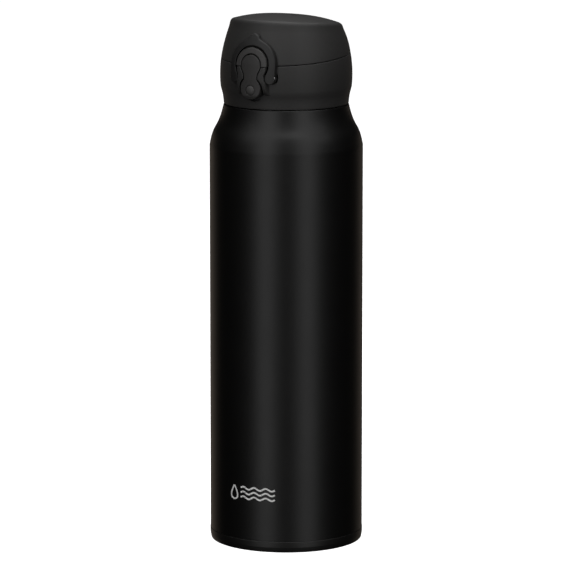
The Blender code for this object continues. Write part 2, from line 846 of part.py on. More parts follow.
def ring_outline():
    """A horseshoe whose ends are round lobes on the latch pin, with a thumb tab at its top."""
    inner_turn = math.degrees(math.acos(7.6 * MM / RING_INNER))
    right = arc((0, RING_Z), RING_INNER, 90, -inner_turn, 9)
    right += arc((LOBE_X, LOBE_Z), LOBE_R, 180, 360, 6)
    right += arc((0, RING_Z - 0.2 * MM), RING_OUTER, 0, 28, 3)
    right += bezier(
        (9.9 * MM, 248.8 * MM),
        (8.3 * MM, 251.6 * MM),
        (5.2 * MM, 251.6 * MM),
        (3.9 * MM, 254.0 * MM),
        4,
    )
    right += arc((0, 252.4 * MM), 3.3 * MM, 42, 90, 3)
    left = [(-x, z) for x, z in reversed(right[1:-1])]
    return right + left


def lock_ring():
    pivot = (0, PIN_Y, PIN_Z)
    ring = prism(
        "lock_ring",
        ring_outline(),
        -FAR,
        -22 * MM,
        ((0.05, 0.047, 0.045), 0.5),
        pivot,
    )
    combine(ring, "INTERSECT", latch_blank("ring_blank", GAP, LATCH_STAND + 0.1 * MM))
    bore = rod("ring_bore", PIN_R + 0.1 * MM, -FAR, FAR, PIN_Y, PIN_Z)
    return combine(ring, "DIFFERENCE", bore)


def build():
    clear_scene()
    outer_shell()
    inner_bottle()
    base_cup()
    bottom_plate()
    vacuum_fittings()
    stopper_gasket()
    stopper_core()
    stopper_shell()
    mouthpiece()
    mouthpiece_gasket()
    pins_and_springs()
    lid_shell()
    lid_liner()
    lid_gasket()
    push_button()
    lock_ring()


build()
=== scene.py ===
"""Looks of a slim black vacuum flask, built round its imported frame.

Fine meshes stand for the frame's plain solids, each with its own procedural finish. Lengths are metres,
+Z is up, the latch faces -Y and the lid's hinge is at +Y.
"""

import logging
import math
from dataclasses import dataclass
from enum import Enum
from typing import Callable, Sequence

import bpy
import numpy as np
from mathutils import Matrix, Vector


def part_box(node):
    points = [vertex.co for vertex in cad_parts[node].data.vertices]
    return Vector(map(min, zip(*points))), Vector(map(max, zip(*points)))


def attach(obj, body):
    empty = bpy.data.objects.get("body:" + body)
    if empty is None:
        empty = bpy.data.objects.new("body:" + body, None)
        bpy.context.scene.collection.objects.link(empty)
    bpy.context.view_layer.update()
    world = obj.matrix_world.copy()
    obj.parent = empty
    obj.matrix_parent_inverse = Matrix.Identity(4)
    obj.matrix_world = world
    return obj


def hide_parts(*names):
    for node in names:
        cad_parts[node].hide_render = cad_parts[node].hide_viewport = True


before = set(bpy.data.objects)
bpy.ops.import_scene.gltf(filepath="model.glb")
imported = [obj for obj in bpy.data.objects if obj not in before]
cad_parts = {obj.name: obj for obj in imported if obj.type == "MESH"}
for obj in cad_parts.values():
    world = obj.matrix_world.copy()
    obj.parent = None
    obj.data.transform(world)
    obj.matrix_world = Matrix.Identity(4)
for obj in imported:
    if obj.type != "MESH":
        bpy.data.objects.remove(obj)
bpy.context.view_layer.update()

LOG = logging.getLogger("flask")

MM = 0.001
GAP = 0.3 * MM
FAR = 60 * MM
MERGE = 1e-6
FINE_STEPS = 160
SMALL_STEPS = 64
SHARP = math.radians(35)

Point = tuple[float, float]
Colour = tuple[float, float, float]


# ------------------------------------------------------------------ modelling


class Cut(Enum):
    """How a tool changes a mesh."""

    AWAY = "DIFFERENCE"
    KEEP = "INTERSECT"
    JOIN = "UNION"


def arc(centre: Point, radius: float, start: float, end: float, steps: int) -> list[Point]:
    """Points on an arc.

    Args:
        centre: Middle of the arc.
        radius: Its radius.
        start: First angle in degrees.
        end: Last angle in degrees.
        steps: Number of chords.

    Returns:
        The points, first and last included.
    """
    angles = [math.radians(start + (end - start) * i / steps) for i in range(steps + 1)]
    return [(centre[0] + radius * math.cos(a), centre[1] + radius * math.sin(a)) for a in angles]


def curve(points: Sequence[Point], steps: int) -> list[Point]:
    """Points on a cubic Bezier curve.

    Args:
        points: Start, two pulls and end.
        steps: Number of chords.

    Returns:
        The points, start and end included.
    """
    found = []
    for i in range(steps + 1):
        t = i / steps
        weights = ((1 - t) ** 3, 3 * (1 - t) ** 2 * t, 3 * (1 - t) * t * t, t**3)
        found.append(tuple(sum(w * p[k] for w, p in zip(weights, points)) for k in (0, 1)))
    return found


def rounded(corners: Sequence[Sequence[float]], closed: bool = True, chords: int = 4) -> list[Point]:
    """Rounds the corners of an outline.

    Args:
        corners: Points, each with an optional third number, its rounding.
        closed: Whether the last point runs on to the first.
        chords: Chords per rounded corner.

    Returns:
        The outline's points.
    """
    found = []
    count = len(corners)
    for i, corner in enumerate(corners):
        radius = corner[2] if len(corner) > 2 else 0.0
        here = np.array(corner[:2])
        at_end = not closed and i in (0, count - 1)
        if radius <= 0 or at_end:
            found.append((float(here[0]), float(here[1])))
            continue
        back = np.array(corners[i - 1][:2]) - here
        ahead = np.array(corners[(i + 1) % count][:2]) - here
        room = 0.49 * min(np.linalg.norm(back), np.linalg.norm(ahead))
        back, ahead = back / np.linalg.norm(back), ahead / np.linalg.norm(ahead)
        half = 0.5 * math.acos(float(np.clip(back @ ahead, -1, 1)))
        reach = min(radius / math.tan(half), room)
        for j in range(chords + 1):
            t = j / chords
            spot = here + reach * ((1 - t) ** 2 * back + t**2 * ahead)
            found.append((float(spot[0]), float(spot[1])))
    return found


class Bench:
    """Works on one mesh at a time with Blender's own operators."""

    @staticmethod
    def take(piece: bpy.types.Object) -> bpy.types.Object:
        """Makes a piece the only selected and active object.

        Args:
            piece: The mesh object.

        Returns:
            The piece.
        """
        bpy.ops.object.select_all(action="DESELECT")
        piece.select_set(True)
        bpy.context.view_layer.objects.active = piece
        return piece

    @staticmethod
    def edit(action: Callable[[], None], piece: bpy.types.Object) -> bpy.types.Object:
        """Runs an action in edit mode on the whole piece.

        Args:
            action: Operators to run, with everything selected.
            piece: The mesh object.

        Returns:
            The piece.
        """
        Bench.take(piece)
        bpy.ops.object.mode_set(mode="EDIT")
        bpy.ops.mesh.select_all(action="SELECT")
        action()
        bpy.ops.object.mode_set(mode="OBJECT")
        return piece

    @staticmethod
    def named(name: str) -> bpy.types.Object:
        """Names the newly added primitive, and deselects all else.

        Args:
            name: Its name.

        Returns:
            The primitive.
        """
        piece = bpy.context.active_object
        piece.name = name
        piece.data.name = name
        return Bench.take(piece)

    @staticmethod
    def settle(piece: bpy.types.Object) -> bpy.types.Object:
        """Bakes the place into the mesh, merges doubles, turns faces outwards and smooths it.

        Args:
            piece: The mesh object.

        Returns:
            The piece.
        """

        def clean() -> None:
            """Merges doubles and turns every face outwards."""
            bpy.ops.mesh.remove_doubles(threshold=MERGE)
            bpy.ops.mesh.dissolve_degenerate(threshold=MERGE / 10)
            bpy.ops.mesh.select_all(action="SELECT")
            bpy.ops.mesh.normals_make_consistent(inside=False)

        Bench.take(piece)
        bpy.ops.object.transform_apply(location=True, rotation=True, scale=True)
        Bench.edit(clean, piece)
        bpy.ops.object.shade_smooth_by_angle(angle=SHARP)
        return piece

    @staticmethod
    def profile(name: str, outline: Sequence[Point], closed: bool) -> bpy.types.Object:
        """Draws an outline in the XZ plane by extruding one vertex from point to point.

        Args:
            name: Name of the piece.
            outline: Points of radius and height.
            closed: Whether the last point joins the first.

        Returns:
            The wire, left in object mode.
        """
        bpy.ops.mesh.primitive_plane_add(size=MM, location=(0, 0, 0))
        wire = Bench.named(name)
        bpy.ops.object.mode_set(mode="EDIT")
        bpy.ops.mesh.select_all(action="SELECT")
        bpy.ops.mesh.merge(type="CENTER")
        x, z = outline[0]
        bpy.ops.transform.translate(value=(x, 0, z))
        for next_x, next_z in outline[1:]:
            step = (next_x - x, 0, next_z - z)
            bpy.ops.mesh.extrude_region_move(TRANSFORM_OT_translate={"value": step})
            x, z = next_x, next_z
        if closed:
            step = (outline[0][0] - x, 0, outline[0][1] - z)
            bpy.ops.mesh.extrude_region_move(TRANSFORM_OT_translate={"value": step})
        bpy.ops.mesh.select_all(action="SELECT")
        bpy.ops.mesh.remove_doubles(threshold=MERGE)
        bpy.ops.object.mode_set(mode="OBJECT")
        return wire

    @staticmethod
    def lathe(
        name: str, outline: Sequence[Point], steps: int = FINE_STEPS, closed: bool = True
    ) -> bpy.types.Object:
        """Spins an outline about Z.

        Args:
            name: Name of the piece.
            outline: Points of radius and height.
            steps: Steps round the full turn.
            closed: False where the outline's two ends lie on the axis.

        Returns:
            The closed mesh.
        """
        piece = Bench.profile(name, outline, closed)

        def spin() -> None:
            """Turns the outline right round and closes the seam."""
            bpy.ops.mesh.spin(steps=steps, angle=math.tau, center=(0, 0, 0), axis=(0, 0, 1))
            bpy.ops.mesh.select_all(action="SELECT")
            bpy.ops.mesh.remove_doubles(threshold=MERGE)

        Bench.edit(spin, piece)
        return Bench.settle(piece)

    @staticmethod
    def prism(name: str, outline: Sequence[Point], low: float, high: float) -> bpy.types.Object:
        """Fills an outline of x and z and extrudes it along Y.

        Args:
            name: Name of the piece.
            outline: Points of x and z.
            low: Y of one end.
            high: Y of the other.

        Returns:
            The closed mesh.
        """
        piece = Bench.profile(name, outline, closed=True)

        def rise() -> None:
            """Fills the outline at one end and pulls it to the other."""
            bpy.ops.transform.translate(value=(0, low, 0))
            bpy.ops.mesh.edge_face_add()
            bpy.ops.mesh.extrude_region_move(TRANSFORM_OT_translate={"value": (0, high - low, 0)})

        Bench.edit(rise, piece)
        return Bench.settle(piece)

    @staticmethod
    def block(name: str, low: Sequence[float], high: Sequence[float]) -> bpy.types.Object:
        """A box between two corners."""
        sides = [(low[0], low[2]), (high[0], low[2]), (high[0], high[2]), (low[0], high[2])]
        return Bench.prism(name, sides, low[1], high[1])

    @staticmethod
    def rod(
        name: str, radius: float, span: Point, centre: Point, bevel: float = 0.0
    ) -> bpy.types.Object:
        """A round rod along X.

        Args:
            name: Name of the piece.
            radius: Its radius.
            span: Lowest and highest x.
            centre: Its y and z.
            bevel: Rounding of the end rims.

        Returns:
            The closed mesh.
        """
        bpy.ops.mesh.primitive_cylinder_add(
            vertices=SMALL_STEPS,
            radius=radius,
            depth=span[1] - span[0],
            location=((span[0] + span[1]) / 2, centre[0], centre[1]),
            rotation=(0, math.pi / 2, 0),
        )
        piece = Bench.named(name)
        if bevel > 0:
            Bench.round_edges(piece, bevel, 4)
        return Bench.settle(piece)

    @staticmethod
    def modify(piece: bpy.types.Object, kind: str, **settings: object) -> bpy.types.Object:
        """Adds a modifier with these settings and applies it.

        Args:
            piece: The mesh object.
            kind: Modifier type.
            settings: Values of its settings, by name.

        Returns:
            The piece.
        """
        Bench.take(piece)
        modifier = piece.modifiers.new(kind, kind)
        for key, value in settings.items():
            setattr(modifier, key, value)
        bpy.ops.object.modifier_apply(modifier=modifier.name)
        return piece

    @staticmethod
    def round_edges(piece: bpy.types.Object, width: float, segments: int) -> bpy.types.Object:
        """Rounds the piece's sharp edges.

        Args:
            piece: The mesh object.
            width: Width of the rounding.
            segments: Faces across it.

        Returns:
            The piece.
        """
        return Bench.modify(
            piece,
            "BEVEL",
            width=width,
            segments=segments,
            limit_method="ANGLE",
            angle_limit=SHARP,
        )

    @staticmethod
    def cut(piece: bpy.types.Object, how: Cut, *tools: bpy.types.Object) -> bpy.types.Object:
        """Cuts, keeps or joins with each tool, which is used up.

        Args:
            piece: The mesh object.
            how: What each tool does to it.
            tools: Closed meshes.

        Returns:
            The piece.
        """
        for tool in tools:
            Bench.modify(piece, "BOOLEAN", operation=how.value, solver="EXACT", object=tool)
            bpy.data.objects.remove(tool, do_unlink=True)
        return piece

    @staticmethod
    def mould(piece: bpy.types.Object, grain: float, passes: int) -> bpy.types.Object:
        """Remeshes a piece and softens it, as a moulding with rounded edges.

        Args:
            piece: The closed mesh.
            grain: Voxel size.
            passes: Smoothing passes.

        Returns:
            The piece.
        """
        Bench.modify(piece, "REMESH", mode="VOXEL", voxel_size=grain, adaptivity=0.0)
        Bench.modify(piece, "SMOOTH", factor=0.5, iterations=passes)
        Bench.take(piece)
        bpy.ops.object.shade_smooth()
        return piece

    @staticmethod
    def move_points(
        piece: bpy.types.Object, rule: Callable[[np.ndarray], np.ndarray]
    ) -> bpy.types.Object:
        """Moves every vertex by a rule from old places to new ones.

        Args:
            piece: The mesh object.
            rule: Takes rows of x, y and z, and gives the new rows.

        Returns:
            The piece.
        """
        mesh = piece.data
        places = np.empty(len(mesh.vertices) * 3, np.float64)
        mesh.vertices.foreach_get("co", places)
        moved = rule(places.reshape(-1, 3))
        mesh.vertices.foreach_set("co", moved.reshape(-1))
        mesh.update()
        return piece


# ------------------------------------------------------------------ finishes


class Wire:
    """One socket of a shader graph, which can be added to and multiplied."""

    def __init__(self, graph: "Graph", socket: bpy.types.NodeSocket) -> None:
        """Wraps a socket of this graph."""
        self.graph = graph
        self.socket = socket

    def _maths(self, operation: str, first: object, second: object) -> "Wire":
        """Adds a Math node on two values."""
        return self.graph.node("ShaderNodeMath", {"operation": operation}, {0: first, 1: second})

    def __add__(self, other: object) -> "Wire":
        """Sum."""
        return self._maths("ADD", self, other)

    __radd__ = __add__

    def __mul__(self, other: object) -> "Wire":
        """Product."""
        return self._maths("MULTIPLY", self, other)

    __rmul__ = __mul__


class Graph:
    """Builds one material's nodes."""

    def __init__(self, name: str) -> None:
        """Starts a material with a Principled shader.

        Args:
            name: Its name.
        """
        self.material = bpy.data.materials.new(name)
        self.material.use_nodes = True
        self.tree = self.material.node_tree
        self.shader = self.tree.nodes["Principled BSDF"]

    def node(
        self, kind: str, settings: dict[str, object], inputs: dict[object, object], output: object = 0
    ) -> Wire:
        """Adds a node.

        Args:
            kind: Node type.
            settings: Its own settings, set first. A ramp's stops are under "stops".
            inputs: Values or wires of its sockets, by name or number.
            output: Name or number of the socket to hand back.

        Returns:
            The output as a wire.
        """
        made = self.tree.nodes.new(kind)
        for key, value in settings.items():
            if key == "stops":
                self._set_stops(made.color_ramp, value)
            else:
                setattr(made, key, value)
        for key, value in inputs.items():
            self._feed(made.inputs[key], value)
        return Wire(self, made.outputs[output])

    def _feed(self, socket: bpy.types.NodeSocket, value: object) -> None:
        """Links or sets one socket.

        Args:
            socket: The socket.
            value: A wire to link, or a value.
        """
        if isinstance(value, Wire):
            self.tree.links.new(value.socket, socket)
        else:
            socket.default_value = value

    @staticmethod
    def _set_stops(ramp: bpy.types.ColorRamp, stops: Sequence[tuple[float, float]]) -> None:
        """Gives a ramp these grey stops.

        Args:
            ramp: The ramp.
            stops: Place and grey of each stop.
        """
        while len(ramp.elements) < len(stops):
            ramp.elements.new(0.5)
        for element, (place, grey) in zip(ramp.elements, stops):
            element.position = place
            element.color = (grey, grey, grey, 1.0)

    def place(self, stretch: Sequence[float] = (1, 1, 1)) -> Wire:
        """Object coordinates in metres, stretched along the axes."""
        spot = self.node("ShaderNodeTexCoord", {}, {}, "Object")
        return self.node("ShaderNodeMapping", {}, {"Vector": spot, "Scale": stretch})

    def noise(self, spot: Wire, scale: float, detail: float = 2.0, rough: float = 0.5) -> Wire:
        """Soft noise from 0 to 1, scale cycles per metre."""
        sockets = {"Vector": spot, "Scale": scale, "Detail": detail, "Roughness": rough}
        return self.node("ShaderNodeTexNoise", {}, sockets, "Fac")

    def ramp(self, value: Wire, *stops: tuple[float, float]) -> Wire:
        """A grey ramp of a value."""
        return self.node("ShaderNodeValToRGB", {"stops": stops}, {"Fac": value}, "Color")

    def mix(self, factor: object, first: object, second: object) -> Wire:
        """Mixes two colours.

        Args:
            factor: Share of the second.
            first: A colour or a wire.
            second: A colour or a wire.

        Returns:
            The mixed colour.
        """
        made = self.tree.nodes.new("ShaderNodeMix")
        made.data_type = "RGBA"
        for index, value in ((0, factor), (6, first), (7, second)):
            self._feed(made.inputs[index], value)
        return Wire(self, made.outputs[2])

    def bump(self, height: Wire, depth: float) -> Wire:
        """Turns a height into a normal, depth in metres."""
        sockets = {"Strength": 1.0, "Distance": depth, "Height": height}
        return self.node("ShaderNodeBump", {}, sockets, "Normal")

    def set(self, **sockets: object) -> "Graph":
        """Sets or links the shader's sockets, with _ for a space in their names.

        Args:
            sockets: Values or wires, by socket name.

        Returns:
            The graph.
        """
        for key, value in sockets.items():
            self._feed(self.shader.inputs[key.replace("_", " ")], value)
        return self


def rgba(colour: Colour, gain: float = 1.0) -> tuple[float, float, float, float]:
    """A colour with alpha, made lighter by gain."""
    return (colour[0] * gain, colour[1] * gain, colour[2] * gain, 1.0)


@dataclass(frozen=True)
class Paint:
    """Satin baked paint on steel, with faint orange peel and fine metallic dust."""

    name: str
    colour: Colour
    roughness: float
    peel: float = 0.004 * MM

    def make(self) -> bpy.types.Material:
        """Builds the material.

        Returns:
            The material.
        """
        g = Graph(self.name)
        spot = g.place()
        cloud = g.noise(spot, 60.0, 3.0)
        peel = g.noise(spot, 1400.0, 2.0)
        grit = g.noise(spot, 9000.0, 1.0)
        tint = g.mix(g.ramp(grit, (0.55, 0.0), (0.8, 1.0)), rgba(self.colour), rgba(self.colour, 1.9))
        g.set(
            Base_Color=g.mix(cloud * 0.35, tint, rgba(self.colour, 0.8)),
            Roughness=self.roughness - 0.03 + cloud * 0.06 + grit * 0.03,
            Normal=g.bump(peel + grit * 0.15, self.peel),
            IOR=1.5,
            Coat_Roughness=0.3,
        )
        return g.material


@dataclass(frozen=True)
class Moulding:
    """Moulded plastic with a spark-eroded skin."""

    name: str
    colour: Colour
    roughness: float
    grain: float = 0.006 * MM
    grain_scale: float = 3200.0

    def make(self) -> bpy.types.Material:
        """Builds the material.

        Returns:
            The material.
        """
        g = Graph(self.name)
        spot = g.place()
        cloud = g.noise(spot, 90.0, 3.0)
        skin = g.noise(spot, self.grain_scale, 2.0, 0.6)
        worn = g.mix(cloud, rgba(self.colour, 0.92), rgba(self.colour, 1.1))
        g.set(
            Base_Color=g.mix(g.ramp(skin, (0.35, 0.0), (0.7, 1.0)), worn, rgba(self.colour, 1.15)),
            Roughness=self.roughness - 0.04 + skin * 0.08,
            Normal=g.bump(skin, self.grain),
            IOR=1.48,
        )
        return g.material


@dataclass(frozen=True)
class Steel:
    """Bare stainless steel with turning marks."""

    name: str
    colour: Colour
    roughness: float
    stretch: tuple[float, float, float] = (40, 40, 2500)
    depth: float = 0.002 * MM

    def make(self) -> bpy.types.Material:
        """Builds the material.

        Returns:
            The material.
        """
        g = Graph(self.name)
        marks = g.noise(g.place(self.stretch), 1.0, 4.0, 0.6)
        cloud = g.noise(g.place(), 55.0, 2.0)
        g.set(
            Base_Color=g.mix(marks, rgba(self.colour, 0.88), rgba(self.colour, 1.08)),
            Metallic=1.0,
            Roughness=self.roughness - 0.05 + marks * 0.1 + cloud * 0.04,
            Normal=g.bump(marks, self.depth),
        )
        return g.material


@dataclass(frozen=True)
class Rubber:
    """Soft translucent silicone with a fine bloom."""

    name: str
    colour: Colour

    def make(self) -> bpy.types.Material:
        """Builds the material.

        Returns:
            The material.
        """
        g = Graph(self.name)
        bloom = g.noise(g.place(), 400.0, 4.0)
        g.set(
            Base_Color=g.mix(bloom, rgba(self.colour, 0.9), rgba(self.colour, 1.05)),
            Roughness=0.45 + bloom * 0.2,
            Normal=g.bump(bloom, 0.01 * MM),
            Subsurface_Weight=0.15,
            Subsurface_Scale=0.002,
        )
        return g.material


@dataclass(frozen=True)
class Film:
    """Thin printed or laid film."""

    name: str
    colour: Colour
    roughness: float
    metal: float

    def make(self) -> bpy.types.Material:
        """Builds the material.

        Returns:
            The material.
        """
        g = Graph(self.name)
        fibre = g.noise(g.place(), 2600.0, 3.0)
        g.set(
            Base_Color=g.mix(fibre, rgba(self.colour, 0.9), rgba(self.colour, 1.05)),
            Metallic=self.metal,
            Roughness=self.roughness + fibre * 0.08,
            Normal=g.bump(fibre, 0.002 * MM),
        )
        return g.material


class Finishes:
    """Every finish of the flask, made once."""

    def __init__(self) -> None:
        """Makes the materials."""
        self.body = Paint("body_paint", (0.0014, 0.0013, 0.0012), 0.39).make()
        self.band = Paint("band_paint", (0.0045, 0.0042, 0.004), 0.4).make()
        self.cap = Moulding("cap_plastic", (0.0255, 0.0248, 0.0242), 0.56).make()
        self.button = Moulding("button_plastic", (0.032, 0.0308, 0.03), 0.5).make()
        # The arch is the lid's own plastic made lighter than the cap: a painted highlight for the top light
        # that its rounded face catches.
        self.arch = Moulding("arch_plastic_painted_highlight", (0.042, 0.0405, 0.0395), 0.48).make()
        self.dot = Moulding("dot_plastic", (0.052, 0.0505, 0.0495), 0.55).make()
        self.ring = Moulding("ring_plastic", (0.0115, 0.0112, 0.011), 0.5).make()
        # The inner finish also darkens the stopper's pocket wall as painted shade.
        self.inner = Moulding("inner_plastic", (0.014, 0.014, 0.014), 0.4, 0.002 * MM).make()
        self.steel = Steel("bare_steel", (0.62, 0.61, 0.58), 0.26).make()
        self.pin = Steel("pin_steel", (0.6, 0.6, 0.6), 0.25, (2500, 300, 300)).make()
        self.rubber = Rubber("silicone", (0.5, 0.5, 0.48)).make()
        self.foil = Film("copper_foil", (0.75, 0.38, 0.22), 0.22, 1.0).make()
        self.label = Film("label_film", (0.55, 0.55, 0.54), 0.4, 0.4).make()
        self.print = Film("print_silver", (1.0, 1.0, 0.99), 0.35, 0.0).make()
        self.glass = Film("seal_glass", (0.15, 0.16, 0.15), 0.1, 0.0).make()
        self.pellet = Film("getter_pellet", (0.3, 0.3, 0.31), 0.55, 0.8).make()


def dress(node: str, material: bpy.types.Material) -> None:
    """Gives a CAD node a better material.

    Args:
        node: Name of the CAD node.
        material: Its finish.
    """
    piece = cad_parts[node]
    piece.data.materials.clear()
    piece.data.materials.append(material)
    LOG.info("%s keeps its shape", node)


def fit(
    piece: bpy.types.Object,
    body: str,
    material: bpy.types.Material,
    slot: str,
    *nodes: str,
) -> bpy.types.Object:
    """Finishes a piece: its material, the body it rides on and the nodes it stands for.

    Args:
        piece: The finished mesh.
        body: The CAD body.
        material: Its finish.
        slot: The record's material slot; not used.
        nodes: CAD nodes that it replaces.

    Returns:
        The piece.
    """
    piece.data.materials.clear()
    piece.data.materials.append(material)
    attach(piece, body)
    if nodes:
        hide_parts(*nodes)
    LOG.info("%s rides on %s with %d faces", piece.name, body, len(piece.data.polygons))
    return piece


def top(node: str) -> float:
    """Highest z of a CAD node."""
    return float(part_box(node)[1][2])


def foot(node: str) -> float:
    """Lowest z of a CAD node."""
    return float(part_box(node)[0][2])


def reach(node: str) -> float:
    """Largest x of a CAD node, which is a turned node's radius."""
    return float(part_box(node)[1][0])


# ------------------------------------------------------------------ bottle


@dataclass
class Thread:
    """A two-start screw thread with ends that fade out."""

    lead: float = 8.0 * MM
    starts: int = 2
    turn: float = math.radians(250)

    def make(
        self, name: str, root: float, crest: float, half: float, low: float
    ) -> list[bpy.types.Object]:
        """Builds the ridges.

        Args:
            name: Name of the pieces.
            root: Radius that the ridge grows from.
            crest: Radius of its top.
            half: Half its width at the root.
            low: Height where it starts.

        Returns:
            One closed mesh per start.
        """
        sunk = root - math.copysign(0.3 * MM, crest - root)
        section = [(sunk, -half), (root, -half)]
        section += [
            (root + (crest - root) * math.sin(a), -half * math.cos(a))
            for a in np.linspace(0.15, math.pi - 0.15, 9)
        ]
        section += [(root, half), (sunk, half)]
        return [self._ridge(f"{name}_{i + 1}", section, sunk, root, low, i) for i in range(self.starts)]

    def _ridge(
        self, name: str, section: Sequence[Point], sunk: float, root: float, low: float, start: int
    ) -> bpy.types.Object:
        """Sweeps the section along one start of the helix.

        Args:
            name: Name of the piece.
            section: Points of radius and height from the start.
            sunk: Radius of the section's hidden foot.
            root: Radius that the ridge grows from.
            low: Height where it starts.
            start: Which start it is, from 0.

        Returns:
            The closed mesh.
        """
        first = math.tau * start / self.starts
        piece = Bench.profile(name, [(r, z + low) for r, z in section], closed=True)

        def sweep() -> None:
            """Fills the section, turns it to its start and spins it."""
            bpy.ops.mesh.edge_face_add()
            bpy.ops.transform.rotate(value=-first, orient_axis="Z", center_override=(0, 0, 0))
            bpy.ops.mesh.spin(steps=90, angle=self.turn, center=(0, 0, 0), axis=(0, 0, 1))

        Bench.edit(sweep, piece)

        def climb(places: np.ndarray) -> np.ndarray:
            """Lifts the spun ridge along the helix and fades its ends.

            Args:
                places: Points before.

            Returns:
                Points after.
            """
            angle = np.mod(np.arctan2(places[:, 1], places[:, 0]) - first + 0.01, math.tau) - 0.01
            part = angle / self.turn
            radius = np.hypot(places[:, 0], places[:, 1])
            fade = np.clip(np.minimum(part, 1 - part) * 6, 0.02, 1) ** 0.5
            grown = np.where(np.abs(radius - sunk) < 0.05 * MM, radius, root + (radius - root) * fade)
            moved = places * 1.0
            moved[:, :2] *= (grown / radius)[:, None]
            moved[:, 2] += self.lead * angle / math.tau
            return moved

        Bench.move_points(piece, climb)
        return Bench.settle(piece)


@dataclass
class Bottle:
    """The double-walled steel bottle, its base band and what its vacuum space holds."""

    finishes: Finishes
    wall: float = 0.6 * MM
    inner_wall: float = 0.5 * MM
    shoulder_start: float = 197.6 * MM
    shoulder_top: float = 218.0 * MM
    shoulder_top_r: float = 30.9 * MM
    paint: float = 0.25 * MM
    neck_r: float = 25.6 * MM
    bore_r: float = 22.0 * MM
    rest_inner: float = 33.0 * MM
    rest_outer: float = 36.0 * MM
    recess: float = 1.6 * MM

    def build(self) -> None:
        """Builds every piece of the bottle."""
        self.outer()
        self.neck()
        self.inner()
        self.base()
        self.label()
        self.mark()
        dress("bottom_plate", self.finishes.steel)
        dress("seal_plug", self.finishes.glass)
        dress("getter", self.finishes.pellet)
        dress("reflector_foil", self.finishes.foil)

    def outer(self) -> None:
        """The painted shell with its shoulder."""
        radius, low = reach("outer_shell") + self.paint, foot("outer_shell") - 0.65 * MM
        start, high, rim = self.shoulder_start, self.shoulder_top, self.shoulder_top_r
        pulls = ((radius, start), (35.8 * MM, 208.8 * MM), (34.0 * MM, 204.4 * MM))
        shoulder = curve((*pulls, (rim, high - 0.75 * MM)), 40)
        outside: list[Sequence[float]] = [(radius, low, 0.12 * MM)]
        outside += [(radius, z) for z in np.linspace(low + 1 * MM, start - 1 * MM, 12)]
        outside += shoulder
        outside += [(rim - 0.2 * MM, high, 0.5 * MM), (self.neck_r + 0.6 * MM, high)]
        paint = [(r, z) for r, z in rounded(outside, closed=False)]
        inside = [(r - self.wall, z - 0.4 * self.wall) for r, z in reversed(paint)]
        shell = Bench.lathe("painted_shell", paint + inside)
        fit(shell, "bottle", self.finishes.body, "body_paint", "outer_shell")

    def neck(self) -> None:
        """The bare steel neck, with its thread."""
        mouth, high, flange = top("outer_shell"), self.shoulder_top, self.shoulder_top_r - 2.2 * MM
        neck_r, wall = self.neck_r, self.wall
        outline = [
            (flange, high + 0.02 * MM),
            (neck_r, high + 0.02 * MM, 0.8 * MM),
            (neck_r, mouth, 0.15 * MM),
            (neck_r - wall, mouth),
            (neck_r - wall, high - 0.4 * MM),
            (flange, high - 0.4 * MM),
        ]
        piece = Bench.lathe("steel_neck", rounded(outline))
        fit(piece, "bottle", self.finishes.steel, "bare_steel", "outer_shell")
        ridges = Thread().make("neck_thread", neck_r, neck_r + 1.0 * MM, 0.8 * MM, 221.3 * MM)
        for ridge in ridges:
            fit(ridge, "bottle", self.finishes.steel, "bare_steel")

    def inner(self) -> None:
        """The bare inner bottle, with its rolled mouth."""
        wall, bore, mouth = self.inner_wall, self.bore_r, top("inner_bottle")
        radius, floor = reach("inner_bottle"), foot("inner_bottle")
        corner = 6.0 * MM
        side = 195.0 * MM
        neck = 211.0 * MM
        turn = curve(((radius, side), (radius, 207 * MM), (bore + wall, 202 * MM), (bore + wall, neck)), 24)
        outline: list[Sequence[float]] = [(0, floor + 1.2 * MM), (16 * MM, floor, 8 * MM)]
        outline += arc((radius - corner, floor + corner), corner, -90, 0, 8)
        outline += turn
        outline += [
            (bore + wall, mouth - wall),
            (self.neck_r, mouth - wall, 0.1 * MM),
            (self.neck_r, mouth, 0.35 * MM),
            (bore, mouth, 0.5 * MM),
        ]
        outline += [(r - wall, z - 0.3 * wall) for r, z in reversed(turn)]
        outline += arc((radius - corner, floor + corner), corner - wall, 0, -90, 8)
        outline += [(16 * MM, floor + wall, 8 * MM), (0, floor + 1.2 * MM + wall)]
        piece = Bench.lathe("inner_wall", rounded(outline, closed=False), closed=False)
        fit(piece, "bottle", self.finishes.steel, "bare_steel", "inner_bottle")

    def base(self) -> None:
        """The base band, with its rest ring and recessed underside."""
        radius, spigot_top = reach("base_cup") + 0.6 * self.paint, top("base_cup")
        spigot = reach("outer_shell") - self.wall - GAP
        band = 5.5 * MM
        plate = self.recess + 0.8 * MM
        outline = [
            (0, self.recess),
            (self.rest_inner - 1.0 * MM, self.recess, 0.6 * MM),
            (self.rest_inner, 0, 0.4 * MM),
            (self.rest_outer - 0.6 * MM, 0),
            (37.35 * MM, 0, 0.9 * MM),
            (37.85 * MM, 2.6 * MM, 2.0 * MM),
            (radius, band, 0.35 * MM),
            (spigot, band, 0.05 * MM),
            (spigot, spigot_top, 0.2 * MM),
            (spigot - self.wall, spigot_top, 0.2 * MM),
            (spigot - self.wall, plate, 1.0 * MM),
            (0, plate),
        ]
        piece = Bench.lathe("base_band", rounded(outline, closed=False, chords=8), closed=False)
        fit(piece, "bottle", self.finishes.band, "band_paint", "base_cup")

    def label(self) -> None:
        """The blank label under the base."""
        radius, low, high = reach("base_label"), foot("base_label"), top("base_label")
        outline = [(0, low), (radius, low, 0.05 * MM), (radius, high, 0.05 * MM), (0, high)]
        piece = Bench.lathe("blank_label", rounded(outline, closed=False), closed=False)
        fit(piece, "bottle", self.finishes.label, "label_film", "base_label")

    def mark(self) -> None:
        """A generic printed mark low on the front: a drop beside three wavy lines."""
        Mark(self.finishes).build(reach("outer_shell") + self.paint)


